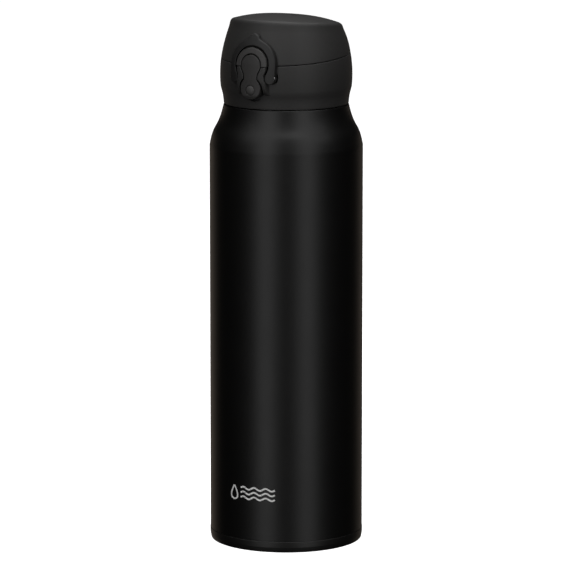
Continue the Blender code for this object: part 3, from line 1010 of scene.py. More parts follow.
@dataclass
class Mark:
    """The printed mark, drawn flat and then laid round the body."""

    finishes: Finishes
    height: float = 29.0 * MM
    line: float = 0.8 * MM
    lift: float = 0.02 * MM
    drop_x: float = -8.2 * MM
    wave_x: float = -4.2 * MM
    wave_length: float = 6.1 * MM
    waves: int = 3

    def ribbon(self, name: str, points: np.ndarray) -> bpy.types.Object:
        """A flat line of constant width along a path.

        Args:
            name: Name of the piece.
            points: Places across and up from the mark's middle.

        Returns:
            The line, with a little thickness.
        """
        along = np.gradient(points, axis=0)
        across = np.stack([-along[:, 1], along[:, 0]], 1)
        across *= self.line / 2 / np.linalg.norm(across, axis=1)[:, None]
        outline = [tuple(p) for p in points + across] + [tuple(p) for p in (points - across)[::-1]]
        return Bench.prism(name, outline, 0, self.lift)

    def drop(self) -> bpy.types.Object:
        """The drop's outline, open at its tip.

        Returns:
            The line, still flat.
        """
        angle = np.linspace(0.45, math.tau - 0.45, 45)
        width = 2.9 * MM * np.sin(angle) * np.sin(angle / 2) ** 1.5
        return self.ribbon("print_drop", np.stack([self.drop_x + width, 3.6 * MM * np.cos(angle)], 1))

    def wave(self, row: int) -> bpy.types.Object:
        """A wavy line, row 0 being the top one.

        Args:
            row: Which line it is.

        Returns:
            The line, still flat.
        """
        turn = np.arange(20 * self.waves + 1) / 20
        x = self.wave_x + self.wave_length * turn
        z = (1 - row) * 2.4 * MM + 0.6 * MM * np.sin(math.tau * turn)
        return self.ribbon(f"print_wave_{row + 1}", np.stack([x, z], 1))

    def build(self, radius: float) -> None:
        """Draws the drop and the waves and wraps them on the body.

        Args:
            radius: The body's radius.
        """

        def wrap(places: np.ndarray) -> np.ndarray:
            """Rolls the flat line round the body at the mark's height.

            Args:
                places: Points before.

            Returns:
                Points after.
            """
            angle = places[:, 0] / radius
            out = radius + self.lift - places[:, 1]
            height = places[:, 2] + self.height
            return np.stack([out * np.sin(angle), -out * np.cos(angle), height], axis=1)

        for piece in (self.drop(), *(self.wave(row) for row in range(3))):
            Bench.move_points(piece, wrap)
            Bench.settle(piece)
            fit(piece, "bottle", self.finishes.print, "label_film")


# ------------------------------------------------------------------ cap


@dataclass
class CapSide:
    """The bulging side that stopper and lid share, and the tilted planes that end them."""

    widest: float = 32.5 * MM
    widest_z: float = 232.5 * MM
    bow: float = 61.0 * MM
    band_end: float = 227.0 * MM
    seam: float = 242.4 * MM
    seam_slope: float = 0.0857
    rim: float = 258.5 * MM
    rim_slope: float = -0.091
    rim_r: float = 27.15 * MM
    dome: float = 3.7 * MM
    wall: float = 2.0 * MM

    def radius(self, z: float | np.ndarray) -> float | np.ndarray:
        """Radius of the side at a height."""
        return self.widest - self.bow + np.sqrt(self.bow**2 - (z - self.widest_z) ** 2)

    def at(self, z: float, stand: float = 0.0) -> Point:
        """A point of the side, standing out by stand."""
        return (float(self.radius(z)) + stand, float(z))

    def points(self, low: float, high: float, steps: int, stand: float = 0.0) -> list[Point]:
        """Points of the side between two heights, standing out by stand."""
        return [self.at(z, stand) for z in np.linspace(low, high, steps + 1)]

    def crown(self, r: float, drop: float = 0.0) -> Point:
        """A point of the domed top at a radius, lowered by drop."""
        return (r, self.rim + self.dome * (1 - (r / self.rim_r) ** 2.5) - drop)

    def lean_stopper(self, places: np.ndarray) -> np.ndarray:
        """Tilts the stopper's upper edge to the seam."""
        part = np.clip((places[:, 2] - self.band_end) / (self.seam - self.band_end), 0, 1)
        return self._lean(places, self.seam_slope * part * part * (3 - 2 * part), np.ones(len(places)))

    def lean_lid(self, places: np.ndarray) -> np.ndarray:
        """Tilts the lid's lower edge to the seam and its top the other way.

        Args:
            places: Points before.

        Returns:
            Points after.
        """
        part = np.clip((places[:, 2] - self.seam) / (self.rim - self.seam), 0, 1)
        slope = self.seam_slope + (self.rim_slope - self.seam_slope) * part
        return self._lean(places, slope, 1 - part)

    def _lean(self, places: np.ndarray, slope: np.ndarray, follow: np.ndarray) -> np.ndarray:
        """Moves points up by slope times y, and in or out to stay on the side.

        Args:
            places: Points before.
            slope: Slope at each point.
            follow: How far each point's radius follows the side, from 0 to 1.

        Returns:
            Points after.
        """
        radius = np.hypot(places[:, 0], places[:, 1])
        height = places[:, 2] + slope * places[:, 1]
        shift = (self.radius(height) - self.radius(places[:, 2])) * follow
        scale = np.where(radius > 1 * MM, (radius + shift) / np.maximum(radius, 1 * MM), 1.0)
        return np.stack([places[:, 0] * scale, places[:, 1] * scale, height], axis=1)

    def beyond_seam(self, name: str, height: float, above: bool) -> bpy.types.Object:
        """A block that fills one side of the tilted seam plane.

        Args:
            name: Name of the tool.
            height: Height of the plane on the axis.
            above: Whether the block lies above it.

        Returns:
            The tool.
        """
        end = height + FAR if above else height - FAR
        low, high = height - self.seam_slope * FAR, height + self.seam_slope * FAR
        tool = Bench.prism(name, [(-FAR, low), (FAR, high), (FAR, end), (-FAR, end)], -FAR, FAR)
        return Bench.move_points(tool, lambda p: np.stack([-p[:, 1], p[:, 0], p[:, 2]], axis=1))


@dataclass
class LatchShapes:
    """Outlines shared by the button, the lock ring, the arch and the pockets round them."""

    side: CapSide
    stand: float = 3.0 * MM
    pin_y: float = -32.1 * MM
    pin_z: float = 234.3 * MM
    pin_r: float = 0.75 * MM
    disc_z: float = 240.1 * MM
    disc_r: float = 5.2 * MM
    pad_z: float = 229.0 * MM
    pad_r: float = 5.4 * MM
    waist: float = 3.5 * MM
    arch_z: float = 240.3 * MM
    arch_outer: float = 8.4 * MM
    arch_inner: float = 5.6 * MM
    ring_z: float = 240.4 * MM
    ring_inner: float = 9.2 * MM
    ring_outer: float = 12.45 * MM

    def keyhole(self, grow: float) -> list[Point]:
        """The button's outline, widened by grow, with smooth hollows at its waist.

        Args:
            grow: Widening all round.

        Returns:
            The outline.
        """
        waist = (self.waist + grow, self.pin_z - 0.1 * MM)
        right = arc((0, self.disc_z), self.disc_r + grow, 90, -28, 22)
        pad = arc((0, self.pad_z), self.pad_r + grow, 38, -90, 22)
        start, end = right[-1], pad[0]
        pulls = ((start[0] - 0.9 * MM, start[1] - 1.6 * MM), (waist[0], waist[1] + 1.6 * MM))
        right += curve((start, *pulls, waist), 10)[1:]
        pulls = ((waist[0], waist[1] - 0.9 * MM), (end[0] - 0.6 * MM, end[1] + 0.75 * MM))
        right += curve((waist, *pulls, end), 10)[1:]
        right += pad[1:]
        return right + [(-x, z) for x, z in reversed(right[1:-1])]

    def horseshoe(self) -> list[Point]:
        """The lock ring's outline: lobes on the pin, a thumb tab at the top.

        Returns:
            Points of x and z.
        """
        turn = math.degrees(math.acos(7.6 * MM / self.ring_inner))
        right = arc((0, self.ring_z), self.ring_inner, 90, -turn, 30)
        right += arc((9.95 * MM, 233.5 * MM), 2.35 * MM, 180, 360, 16)
        right += arc((0, self.ring_z), self.ring_outer, 0, 60, 20)
        pulls = ((4.9 * MM, 251.9 * MM), (3.7 * MM, 252.1 * MM), (2.9 * MM, 253.3 * MM))
        right += curve((right[-1], *pulls), 12)[1:]
        right += arc((0, 252.1 * MM), 3.15 * MM, 26, 90, 8)
        return right + [(-x, z) for x, z in reversed(right[1:-1])]

    def cheeks(self) -> list[Point]:
        """The stopper's raised cheeks.

        Returns:
            Points of x and z.
        """
        right = arc((0, self.arch_z), self.arch_outer, 20, -33, 12)
        pulls = ((7.0 * MM, 234.6 * MM), (7.2 * MM, 231.4 * MM), (12.6 * MM, 230.6 * MM))
        right += curve((right[-1], *pulls), 12)[1:]
        right += [(12.6 * MM, 225.0 * MM)]
        return right + [(-x, z) for x, z in reversed(right)]

    def blank(self, name: str, back: float, front: float) -> bpy.types.Object:
        """A ring that follows the cap's side between two distances from it.

        Args:
            name: Name of the piece.
            back: Distance of its back.
            front: Distance of its face.

        Returns:
            The closed mesh.
        """
        low, high = 221 * MM, 257 * MM
        outline = self.side.points(low, high, 36, front)
        outline += reversed(self.side.points(low, high, 36, back))
        return Bench.lathe(name, outline, 240)

    def trench(self) -> bpy.types.Object:
        """A round trench tool between the arch and the lock ring.

        Returns:
            The tool.
        """
        inner, outer = self.arch_outer - 0.1 * MM, self.ring_inner + 0.1 * MM
        low, high = 29.8 * MM, FAR
        tool = Bench.lathe("trench", [(inner, low), (outer, low), (outer, high), (inner, high)], 120)
        Bench.move_points(tool, lambda p: np.stack([p[:, 0], -p[:, 2], self.arch_z + p[:, 1]], axis=1))
        return Bench.settle(tool)

    @staticmethod
    def stamp(name: str, outline: Sequence[Point]) -> bpy.types.Object:
        """A tool of this outline, from well in front of the cap back into its hollow."""
        return Bench.prism(name, outline, -FAR, -20 * MM)

    @staticmethod
    def plug(name: str, height: float, radius: float, sides: int) -> bpy.types.Object:
        """A round tool along Y at this height."""
        outline = arc((0, height), radius, 0, 360 - 360 / sides, sides - 1)
        return LatchShapes.stamp(name, outline)

    def pin_hole(self, name: str, radius: float, span: float) -> bpy.types.Object:
        """A rod tool on the latch pin's axis."""
        return Bench.rod(name, radius, (-span, span), (self.pin_y, self.pin_z))


@dataclass
class Hinge:
    """The knuckles at the back of the cap."""

    y: float = 33.2 * MM
    z: float = 246.2 * MM
    radius: float = 3.4 * MM
    half: float = 6.0 * MM
    outer: float = 9.6 * MM
    bore: float = 1.15 * MM

    def rod(
        self, name: str, radius: float, low: float, high: float, bevel: float = 0.0
    ) -> bpy.types.Object:
        """A rod on the hinge's axis."""
        return Bench.rod(name, radius, (low, high), (self.y, self.z), bevel)


@dataclass
class Stopper:
    """The screw-on stopper: shell, threaded core, spout, seals and pins."""

    finishes: Finishes
    side: CapSide
    latch: LatchShapes
    hinge: Hinge

    def build(self) -> None:
        """Builds every piece of the stopper."""
        self.shell()
        self.cheeks()
        self.pocket_wall()
        self.brackets()
        self.core()
        self.spout()
        self.seals()
        self.pins()

    def shell(self) -> None:
        """The outer shell, from its band up to the seam, with the latch's pocket."""
        side, low = self.side, foot("stopper_shell")
        edge = side.seam - GAP / 2
        end = side.band_end
        pulls = ((31.2 * MM, 224.6 * MM), (31.7 * MM, 223.8 * MM))
        band = curve(((30.7 * MM, low), *pulls, side.at(end)), 24)
        outline: list[Sequence[float]] = [(28.5 * MM, low, 0.2 * MM), (*band[0], 0.35 * MM)]
        outline += band[2:]
        outline += side.points(end, edge - 0.6 * MM, 24)[1:]
        outline += [(*side.at(edge), 0.5 * MM), (*side.at(edge, -side.wall), 0.3 * MM)]
        outline += reversed(side.points(228 * MM, edge - 1 * MM, 8, -side.wall))
        outline += [(28.5 * MM, 222 * MM, 1 * MM)]
        piece = Bench.lathe("stopper_case", rounded(outline))
        Bench.move_points(piece, side.lean_stopper)
        for tool in (*self.pockets(), self.latch.trench()):
            Bench.cut(piece, Cut.AWAY, tool)
        self.hollow(piece)
        Bench.settle(piece)
        fit(piece, "stopper", self.finishes.cap, "cap_plastic", "stopper_shell")

    def hollow(self, piece: bpy.types.Object) -> None:
        """Cuts room for the lock ring's lobes and the lid's knuckle.

        Args:
            piece: The stopper's shell.
        """
        hinge = self.hinge
        for tool in self.lobe_rooms():
            Bench.cut(piece, Cut.AWAY, tool)
        half = hinge.half + GAP
        Bench.cut(piece, Cut.AWAY, hinge.rod("knuckle_room", hinge.radius + GAP, -half, half))

    def pockets(self) -> list[bpy.types.Object]:
        """Tools for the pocket round the button, wider round its pad.

        Returns:
            Both tools.
        """
        latch = self.latch
        return [
            latch.stamp("pocket", latch.keyhole(0.5 * MM)),
            latch.plug("pad_pocket", latch.pad_z - 0.4 * MM, latch.pad_r + 1.0 * MM, 60),
        ]

    def lobe_rooms(self) -> list[bpy.types.Object]:
        """Tools for the room in which the lock ring's two lobes turn.

        Returns:
            Both tools.
        """
        latch = self.latch
        return [
            Bench.rod("lobe_room", 3.5 * MM, span, (latch.pin_y, latch.pin_z), 1.6 * MM)
            for span in ((7.2 * MM, 12.75 * MM), (-12.75 * MM, -7.2 * MM))
        ]

    def flare(self, places: np.ndarray) -> np.ndarray:
        """Sinks the cheeks into the side, further out from the middle.

        Args:
            places: Points before.

        Returns:
            Points after.
        """
        part = np.clip((np.abs(places[:, 0]) - 7.6 * MM) / (2.2 * MM), 0, 1)
        part = part * part * (3 - 2 * part)
        radius = np.hypot(places[:, 0], places[:, 1])
        base = self.side.radius(places[:, 2]) - 0.5 * MM
        sunk = np.where(radius > base, base + (radius - base) * (1 - part), radius)
        return places * np.stack([sunk / radius, sunk / radius, np.ones(len(places))], axis=1)

    def cheeks(self) -> None:
        """The raised cheeks that carry the latch pin."""
        side, latch = self.side, self.latch
        slope = ((225.4, -0.3 * MM), (226.0, 1.6 * MM), (228.0, 2.9 * MM), (232.5, latch.stand))
        outline = [(29.0 * MM, 224.6 * MM), side.at(225.0 * MM, -0.6 * MM)]
        outline += curve([side.at(z * MM, stand) for z, stand in slope], 12)
        outline += side.points(233.5 * MM, 243 * MM, 10, latch.stand)
        outline += [(29.0 * MM, 243 * MM)]
        piece = Bench.lathe("latch_cheeks", outline, 240)
        Bench.cut(piece, Cut.KEEP, latch.stamp("cheek_shape", latch.cheeks()))
        Bench.cut(piece, Cut.AWAY, side.beyond_seam("cheek_top", side.seam - GAP / 2, True))
        for tool in self.pockets() + self.lobe_rooms():
            Bench.cut(piece, Cut.AWAY, tool)
        Bench.mould(piece, 0.16 * MM, 6)
        Bench.move_points(piece, self.flare)
        fit(piece, "stopper", self.finishes.cap, "cap_plastic", "stopper_shell")

    def pocket_wall(self) -> None:
        """The thin wall at the back of the button's pocket, in the darker inner finish as painted shade so
        that the pocket reads black.
        """
        inner, outer = 28.3 * MM, 28.85 * MM
        low, high = 221.5 * MM, 239 * MM
        half = 13 * MM
        piece = Bench.lathe("pocket_wall", [(inner, low), (outer, low), (outer, high), (inner, high)])
        front = Bench.block("wall_sector", (-half, -FAR, 0.2), (half, -20 * MM, 0.26))
        Bench.cut(piece, Cut.KEEP, front)
        Bench.settle(piece)
        # Painted shade: the darker inner finish stands in for the shadow deep in the pocket.
        fit(piece, "stopper", self.finishes.inner, "cap_plastic", "stopper_shell")

    def taper(self, places: np.ndarray) -> np.ndarray:
        """Slants a web's outer face, so that it runs out into the side at its foot.

        Args:
            places: Points before.

        Returns:
            Points after.
        """
        foot_edge = (places[:, 1] > 31 * MM) & (places[:, 2] < 239 * MM)
        out = np.where(foot_edge, 31.3 * MM, places[:, 1])
        return np.stack([places[:, 0], out, places[:, 2]], axis=1)

    def brackets(self) -> None:
        """The two side knuckles of the hinge."""
        hinge = self.hinge
        for sign, name in ((1, "right"), (-1, "left")):
            low, high = sorted((sign * (hinge.half + GAP), sign * hinge.outer))
            knuckle = hinge.rod(f"hinge_knuckle_{name}", hinge.radius, low, high)
            web = Bench.block(
                f"web_{name}",
                (low + 0.1 * MM, 29.0 * MM, 238 * MM),
                (high - 0.1 * MM, hinge.y + 0.6 * hinge.radius, hinge.z - 1.6 * MM),
            )
            Bench.move_points(web, self.taper)
            Bench.cut(knuckle, Cut.JOIN, web)
            Bench.cut(knuckle, Cut.AWAY, hinge.rod("bore", hinge.bore, -FAR, FAR))
            Bench.mould(knuckle, 0.14 * MM, 4)
            fit(knuckle, "stopper", self.finishes.cap, "cap_plastic", "stopper_shell")

    def core(self) -> None:
        """The threaded sleeve, deck and plug."""
        deck, high = 234.4 * MM, top("stopper_core")
        low = foot("stopper_core")
        flange = reach("stopper_core")
        bore, plug, collar, sleeve = 12.8 * MM, 20.0 * MM, 21.3 * MM, 26.9 * MM
        outline = [
            (bore, low, 0.4 * MM),
            (plug, low, 0.5 * MM),
            (plug, 218.7 * MM, 0.2 * MM),
            (collar, 219.1 * MM, 0.3 * MM),
            (collar, deck, 0.5 * MM),
            (sleeve, deck, 0.5 * MM),
            (sleeve, 218.8 * MM, 0.3 * MM),
            (28.2 * MM, 218.8 * MM, 0.3 * MM),
            (28.2 * MM, deck, 0.1 * MM),
            (flange, deck, 0.2 * MM),
            (flange, high, 0.3 * MM),
            (bore, high, 0.3 * MM),
        ]
        piece = Bench.lathe("threaded_core", rounded(outline))
        notch = Bench.block(
            "notch", (-14 * MM, -FAR, deck - 1 * MM), (14 * MM, -24.2 * MM, high + 1 * MM)
        )
        Bench.cut(piece, Cut.AWAY, notch)
        Bench.settle(piece)
        fit(piece, "stopper", self.finishes.inner, "inner_plastic", "stopper_core")
        for ridge in Thread().make("core_thread", sleeve, 25.9 * MM, 0.8 * MM, 223.3 * MM):
            fit(ridge, "stopper", self.finishes.inner, "inner_plastic")

    def spout(self) -> None:
        """The drinking spout on the deck."""
        high, low = top("mouthpiece"), foot("mouthpiece")
        flange = reach("mouthpiece")
        deck = top("stopper_core") + GAP
        bore = 10.5 * MM
        outline = [
            (bore, low, 0.3 * MM),
            (11.4 * MM, low, 0.3 * MM),
            (11.4 * MM, deck),
            (flange, deck, 0.2 * MM),
            (flange, deck + 1.3 * MM, 0.5 * MM),
            (18.5 * MM, deck + 1.7 * MM, 1.5 * MM),
            (16.0 * MM, deck + 3.8 * MM, 1.8 * MM),
            (14.2 * MM, high - 4 * MM, 2 * MM),
            (13.8 * MM, high, 1.0 * MM),
            (bore, high, 1.2 * MM),
        ]
        piece = Bench.lathe("drinking_spout", rounded(outline, chords=6))
        fit(piece, "stopper", self.finishes.inner, "inner_plastic", "mouthpiece")

    def seals(self) -> None:
        """The gasket on the plug and the small one on the spout's tube."""
        wide = reach("stopper_gasket")
        low, high = foot("stopper_gasket"), top("stopper_gasket")
        middle = (low + high) / 2
        groove = 20.3 * MM
        lip = [(groove, low, 0.2 * MM), (21.1 * MM, low, 0.3 * MM), (wide, middle, 0.5 * MM)]
        lip += [(21.1 * MM, high, 0.3 * MM), (groove, high, 0.2 * MM)]
        plug = Bench.lathe("plug_gasket", rounded(lip))
        fit(plug, "gasket", self.finishes.rubber, "silicone", "stopper_gasket")
        low, high = foot("mouthpiece_gasket"), top("mouthpiece_gasket")
        lip = [(11.7 * MM, low, 0.1 * MM), (12.5 * MM, low + 0.8 * MM, 0.4 * MM)]
        lip += [(12.5 * MM, high - 0.8 * MM, 0.4 * MM), (11.7 * MM, high, 0.1 * MM)]
        small = Bench.lathe("spout_gasket", rounded(lip))
        fit(small, "stopper", self.finishes.rubber, "silicone", "mouthpiece_gasket")

    def pins(self) -> None:
        """The steel pins, and the springs that keep their CAD shape."""
        hinge, latch = self.hinge, self.latch
        half = reach("hinge_pin")
        pin = hinge.rod("hinge_rod", 1.05 * MM, -half, half, 0.25 * MM)
        fit(pin, "stopper", self.finishes.pin, "pin_steel", "hinge_pin")
        half = reach("latch_pin") + 0.4 * MM
        pin = Bench.rod("latch_rod", latch.pin_r, (-half, half), (latch.pin_y, latch.pin_z), 0.2 * MM)
        fit(pin, "stopper", self.finishes.pin, "pin_steel", "latch_pin")
        dress("lid_spring", self.finishes.pin)
        dress("button_spring", self.finishes.pin)


@dataclass
class Lid:
    """The hinged lid: domed shell, arch, catch, knuckle, liner and seal."""

    finishes: Finishes
    side: CapSide
    latch: LatchShapes
    hinge: Hinge

    def build(self) -> None:
        """Builds every piece of the lid."""
        self.shell()
        self.arch()
        self.catch()
        self.knuckle()
        self.liner()
        self.seal()

    def shell(self) -> None:
        """The domed shell."""
        side = self.side
        edge = side.seam + GAP / 2
        outside: list[Sequence[float]] = [side.crown(r) for r in np.linspace(0, 22.5 * MM, 20)]
        outside += [(side.rim_r, side.rim + 0.1 * MM, 3.0 * MM)]
        outside += reversed(side.points(edge + 0.6 * MM, side.rim - 3.4 * MM, 22))
        outside += [(*side.at(edge), 0.3 * MM)]
        inside: list[Sequence[float]] = [(*side.at(edge, -side.wall), 0.3 * MM)]
        inside += side.points(edge + 1 * MM, side.rim - 4 * MM, 8, -side.wall)
        inside += [(23.6 * MM, side.rim - 1.4 * MM, 1.5 * MM)]
        inside += [side.crown(r, 2.2 * MM) for r in np.linspace(20 * MM, 0, 6)]
        piece = Bench.lathe("lid_case", rounded(outside + inside, closed=False, chords=8), closed=False)
        Bench.move_points(piece, side.lean_lid)
        latch, hinge = self.latch, self.hinge
        hole = latch.plug("disc_room", latch.arch_z, latch.arch_inner + 0.3 * MM, 48)
        Bench.cut(piece, Cut.AWAY, hole, latch.trench())
        for low, high in ((hinge.half, hinge.outer + GAP), (-hinge.outer - GAP, -hinge.half)):
            Bench.cut(piece, Cut.AWAY, hinge.rod("side_room", hinge.radius + GAP, low, high))
        Bench.settle(piece)
        fit(piece, "lid", self.finishes.cap, "cap_plastic", "lid_shell")

    def arch(self) -> None:
        """The raised arch round the button's disc."""
        side, latch = self.side, self.latch
        piece = latch.blank("latch_arch", -1.6 * MM, latch.stand)
        Bench.cut(piece, Cut.KEEP, latch.plug("arch_shape", latch.arch_z, latch.arch_outer, 90))
        Bench.cut(piece, Cut.AWAY, side.beyond_seam("arch_foot", side.seam + GAP / 2, False))
        Bench.cut(piece, Cut.AWAY, latch.plug("arch_hole", latch.arch_z, latch.arch_inner, 60))
        Bench.mould(piece, 0.14 * MM, 12)
        # Its lighter finish is a painted highlight on the lid's plastic.
        fit(piece, "lid", self.finishes.arch, "cap_plastic", "lid_shell")

    def catch(self) -> None:
        """The wall behind the button's disc and the ledge that its hook holds."""
        half, ledge_half = 6.6 * MM, 2.6 * MM
        wall = Bench.block(
            "catch_wall", (-half, -29.0 * MM, 240.6 * MM), (half, -27.6 * MM, 248.0 * MM)
        )
        ledge = Bench.block(
            "catch_ledge", (-ledge_half, -30.6 * MM, 241.0 * MM), (ledge_half, -28.4 * MM, 242.6 * MM)
        )
        Bench.cut(wall, Cut.JOIN, ledge)
        Bench.round_edges(wall, 0.15 * MM, 3)
        Bench.settle(wall)
        fit(wall, "lid", self.finishes.inner, "cap_plastic", "lid_shell")

    def knuckle(self) -> None:
        """The lid's middle knuckle, with its web."""
        hinge = self.hinge
        piece = hinge.rod("lid_knuckle", hinge.radius, -hinge.half, hinge.half)
        web = Bench.block(
            "web",
            (0.1 * MM - hinge.half, 28.6 * MM, hinge.z + 0.4 * MM),
            (hinge.half - 0.1 * MM, hinge.y, hinge.z + hinge.radius - 0.2 * MM),
        )
        Bench.cut(piece, Cut.JOIN, web)
        Bench.cut(piece, Cut.AWAY, hinge.rod("bore", hinge.bore, -FAR, FAR))
        Bench.cut(piece, Cut.AWAY, hinge.rod("spring_room", 2.5 * MM, -3.8 * MM, 3.8 * MM))
        Bench.mould(piece, 0.14 * MM, 4)
        fit(piece, "lid", self.finishes.cap, "cap_plastic", "lid_shell")

    def liner(self) -> None:
        """The liner inside the lid."""
        wide, low, high = reach("lid_liner"), foot("lid_liner"), top("lid_liner")
        outline = [
            (0, 252.6 * MM),
            (15.4 * MM, 252.6 * MM, 0.5 * MM),
            (16.2 * MM, 250.8 * MM, 0.6 * MM),
            (23.4 * MM, 250.8 * MM, 1.2 * MM),
            (23.8 * MM, low, 0.3 * MM),
            (wide, low, 0.3 * MM),
            (24.8 * MM, 252.2 * MM, 1.0 * MM),
            (17.0 * MM, 252.4 * MM, 0.8 * MM),
            (16.2 * MM, high, 0.8 * MM),
            (0, high),
        ]
        piece = Bench.lathe("liner_plate", rounded(outline, closed=False), closed=False)
        fit(piece, "lid", self.finishes.inner, "inner_plastic", "lid_liner")

    def seal(self) -> None:
        """The soft seal that closes the spout."""
        wide, low, high = reach("lid_gasket"), foot("lid_gasket"), top("lid_gasket")
        shelf = 250.3 * MM
        outline = [
            (0, low + 0.8 * MM),
            (5.5 * MM, low + 0.6 * MM, 2 * MM),
            (8.6 * MM, low, 0.8 * MM),
            (9.8 * MM, shelf, 0.8 * MM),
            (wide - 1.8 * MM, shelf, 0.4 * MM),
            (wide, shelf, 0.5 * MM),
            (wide, high, 0.3 * MM),
            (0, high),
        ]
        piece = Bench.lathe("spout_seal", rounded(outline, closed=False), closed=False)
        fit(piece, "lid", self.finishes.rubber, "silicone", "lid_gasket")


@dataclass
class Latch:
    """The push button and the lock ring."""

    finishes: Finishes
    latch: LatchShapes
    dot_r: float = 2.45 * MM
    dot_y: float = -34.7 * MM
    dot_z: float = 228.1 * MM

    def build(self) -> None:
        """Builds each piece."""
        self.button()
        self.dot()
        self.ring()

    def button(self) -> None:
        """The rocking button, with a dished thumb pad and a hook at its top."""
        latch = self.latch
        face: list[Sequence[float]] = [(20 * MM, 215 * MM), (34.6 * MM, 215 * MM)]
        face += [(34.6 * MM, 223.2 * MM), (35.35 * MM, 225.4 * MM, 2 * MM)]
        face += [(35.3 * MM, 233 * MM, 4 * MM), (34.9 * MM, 241 * MM, 8 * MM), (34.0 * MM, 248 * MM)]
        face += [(20 * MM, 248 * MM)]
        piece = Bench.lathe("rocking_button", rounded(face), 240)
        Bench.cut(piece, Cut.KEEP, Bench.prism("button_shape", latch.keyhole(0.0), -FAR, -30.3 * MM))
        behind = Bench.block("disc_back", (-FAR, -31.2 * MM, 237.5 * MM), (FAR, 0, 260 * MM))
        Bench.cut(piece, Cut.AWAY, behind)
        half = 2.2 * MM
        hook = Bench.block("hook", (-half, -31.5 * MM, 242.9 * MM), (half, -29.75 * MM, 244.5 * MM))
        Bench.cut(piece, Cut.JOIN, hook)
        self.dish(piece)
        Bench.cut(piece, Cut.AWAY, latch.pin_hole("bore", latch.pin_r + 0.1 * MM, 6 * MM))
        Bench.mould(piece, 0.13 * MM, 4)
        fit(piece, "button", self.finishes.button, "button_plastic", "push_button")

    def dish(self, piece: bpy.types.Object) -> None:
        """Sinks a shallow round seat for the thumb dot into the pad.

        Args:
            piece: The button.
        """
        bpy.ops.mesh.primitive_cylinder_add(
            vertices=SMALL_STEPS,
            radius=self.dot_r + 0.07 * MM,
            depth=1.4 * MM,
            location=(0, self.dot_y, self.dot_z),
            rotation=(math.pi / 2, 0, 0),
        )
        Bench.cut(piece, Cut.AWAY, Bench.settle(Bench.named("dot_seat")))

    def dot(self) -> None:
        """The domed thumb dot set in the pad."""
        outline = [(0, 0.95 * MM), (1.2 * MM, 0.88 * MM), (2.0 * MM, 0.62 * MM)]
        outline += [(self.dot_r, 0.2 * MM, 0.15 * MM), (self.dot_r, -0.8 * MM), (0, -0.8 * MM)]
        piece = Bench.lathe("thumb_dot", rounded(outline, closed=False), SMALL_STEPS, closed=False)
        Bench.move_points(
            piece,
            lambda p: np.stack([p[:, 0], self.dot_y - p[:, 2], self.dot_z + p[:, 1]], axis=1),
        )
        Bench.settle(piece)
        fit(piece, "button", self.finishes.dot, "button_plastic", "push_button")

    def ring(self) -> None:
        """The lock ring with its thumb tab."""
        latch = self.latch
        piece = latch.blank("safety_ring", GAP, latch.stand - 0.3 * MM)
        Bench.cut(piece, Cut.KEEP, latch.stamp("ring_shape", latch.horseshoe()))
        Bench.cut(piece, Cut.AWAY, latch.pin_hole("bore", latch.pin_r + 0.1 * MM, 20 * MM))
        Bench.mould(piece, 0.17 * MM, 22)
        fit(piece, "ring", self.finishes.ring, "cap_plastic", "lock_ring")


# ------------------------------------------------------------------ studio

MIDDLE = Vector((0, 0, 0.13))


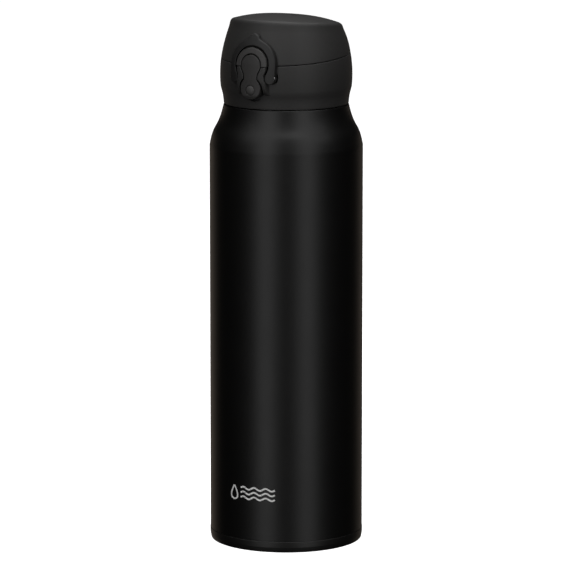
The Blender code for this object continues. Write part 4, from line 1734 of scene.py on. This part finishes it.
@dataclass
class Studio:
    """Floor, light and camera."""

    azimuth: float = 30.0
    distance: float = 2.0445
    height: float = 0.488
    pitch: float = 10.03
    yaw: float = 0.003
    lens: float = 263.5

    def build(self) -> None:
        """Sets up the studio."""
        bpy.context.scene.view_settings.view_transform = "Standard"
        self.camera()
        self.floor()
        self.world()
        self.lights()

    def around(self, azimuth: float, distance: float, height: float) -> Vector:
        """A place round the flask, azimuth 0 being in front of it."""
        angle = math.radians(azimuth)
        return Vector((distance * math.sin(angle), -distance * math.cos(angle), height))

    def camera(self) -> None:
        """The camera."""
        data = bpy.data.cameras.new("camera")
        data.lens = self.lens
        data.sensor_width = 36.0
        data.clip_end = 100.0
        camera = bpy.data.objects.new("camera", data)
        camera.location = self.around(self.azimuth, self.distance, self.height)
        turn = (math.radians(90 - self.pitch), 0, math.radians(self.azimuth - self.yaw))
        camera.rotation_euler = turn
        bpy.context.collection.objects.link(camera)
        bpy.context.scene.camera = camera

    def floor(self) -> None:
        """A plain pale floor that no gloss mirrors."""
        bpy.ops.mesh.primitive_plane_add(size=60, location=(0, 0, 0))
        floor = Bench.named("floor")
        g = Graph("pale_floor")
        g.set(
            Base_Color=(0.9, 0.9, 0.9, 1),
            Roughness=0.9,
            Specular_IOR_Level=0.0,
            Emission_Color=(1, 1, 1, 1),
            Emission_Strength=0.97,
        )
        floor.data.materials.append(g.material)
        floor.visible_glossy = False
        floor.visible_diffuse = False
        floor.visible_shadow = False

    def world(self) -> None:
        """A white backdrop for the eye and a dim warm room for the light."""
        world = bpy.data.worlds.new("studio")
        bpy.context.scene.world = world
        world.use_nodes = True
        tree = world.node_tree
        tree.nodes.clear()
        path = tree.nodes.new("ShaderNodeLightPath")
        room = tree.nodes.new("ShaderNodeBackground")
        room.inputs["Color"].default_value = (1.0, 0.92, 0.86, 1)
        room.inputs["Strength"].default_value = 0.007
        white = tree.nodes.new("ShaderNodeBackground")
        white.inputs["Color"].default_value = (1, 1, 1, 1)
        white.inputs["Strength"].default_value = 1.0
        both = tree.nodes.new("ShaderNodeMixShader")
        out = tree.nodes.new("ShaderNodeOutputWorld")
        tree.links.new(path.outputs["Is Camera Ray"], both.inputs[0])
        tree.links.new(room.outputs[0], both.inputs[1])
        tree.links.new(white.outputs[0], both.inputs[2])
        tree.links.new(both.outputs[0], out.inputs[0])

    def panel(
        self, name: str, place: Vector, size: Point, power: float, colour: Colour = (1, 1, 1)
    ) -> None:
        """A soft rectangular light that faces the flask's middle.

        Args:
            name: Its name.
            place: Where it stands.
            size: Width and height.
            power: Watts.
            colour: Its colour.
        """
        data = bpy.data.lights.new(name, "AREA")
        data.shape = "RECTANGLE"
        data.size, data.size_y = size
        data.energy = power
        data.color = colour
        light = bpy.data.objects.new(name, data)
        light.location = place
        light.rotation_euler = (MIDDLE - place).to_track_quat("-Z", "Y").to_euler()
        light.visible_camera = False
        bpy.context.collection.objects.link(light)

    def lights(self) -> None:
        """Two tall softboxes beside the camera, two high fills, a top light and two warm rims."""
        az = self.azimuth
        tall, square, broad = (0.72, 2.6), (0.7, 0.7), (0.8, 1.0)
        warm = (1, 0.84, 0.7)
        self.panel("key_left", self.around(az - 30.5, 1.5, 0.5), tall, 7.1)
        self.panel("key_right", self.around(az + 31, 1.5, 0.5), tall, 7.0)
        self.panel("high_left", self.around(az - 60, 1.3, 1.1), square, 1.0)
        self.panel("high_right", self.around(az + 60, 1.3, 1.1), square, 1.3)
        self.panel("top_soft", self.around(0, 0, 1.6), (1.6, 1.6), 20.0)
        self.panel("rim_left", self.around(az - 150, 1.6, -0.25), broad, 0.7, warm)
        self.panel("rim_right", self.around(az + 150, 1.6, -0.25), broad, 0.45, warm)


def main() -> None:
    """Builds the studio and the flask, piece by piece."""
    logging.basicConfig(level=logging.INFO, format="%(message)s")
    Studio().build()
    finishes = Finishes()
    side = CapSide()
    latch = LatchShapes(side)
    hinge = Hinge()
    for assembly in (
        Bottle(finishes),
        Stopper(finishes, side, latch, hinge),
        Lid(finishes, side, latch, hinge),
        Latch(finishes, latch),
    ):
        assembly.build()


if __name__ == "__main__":
    main()
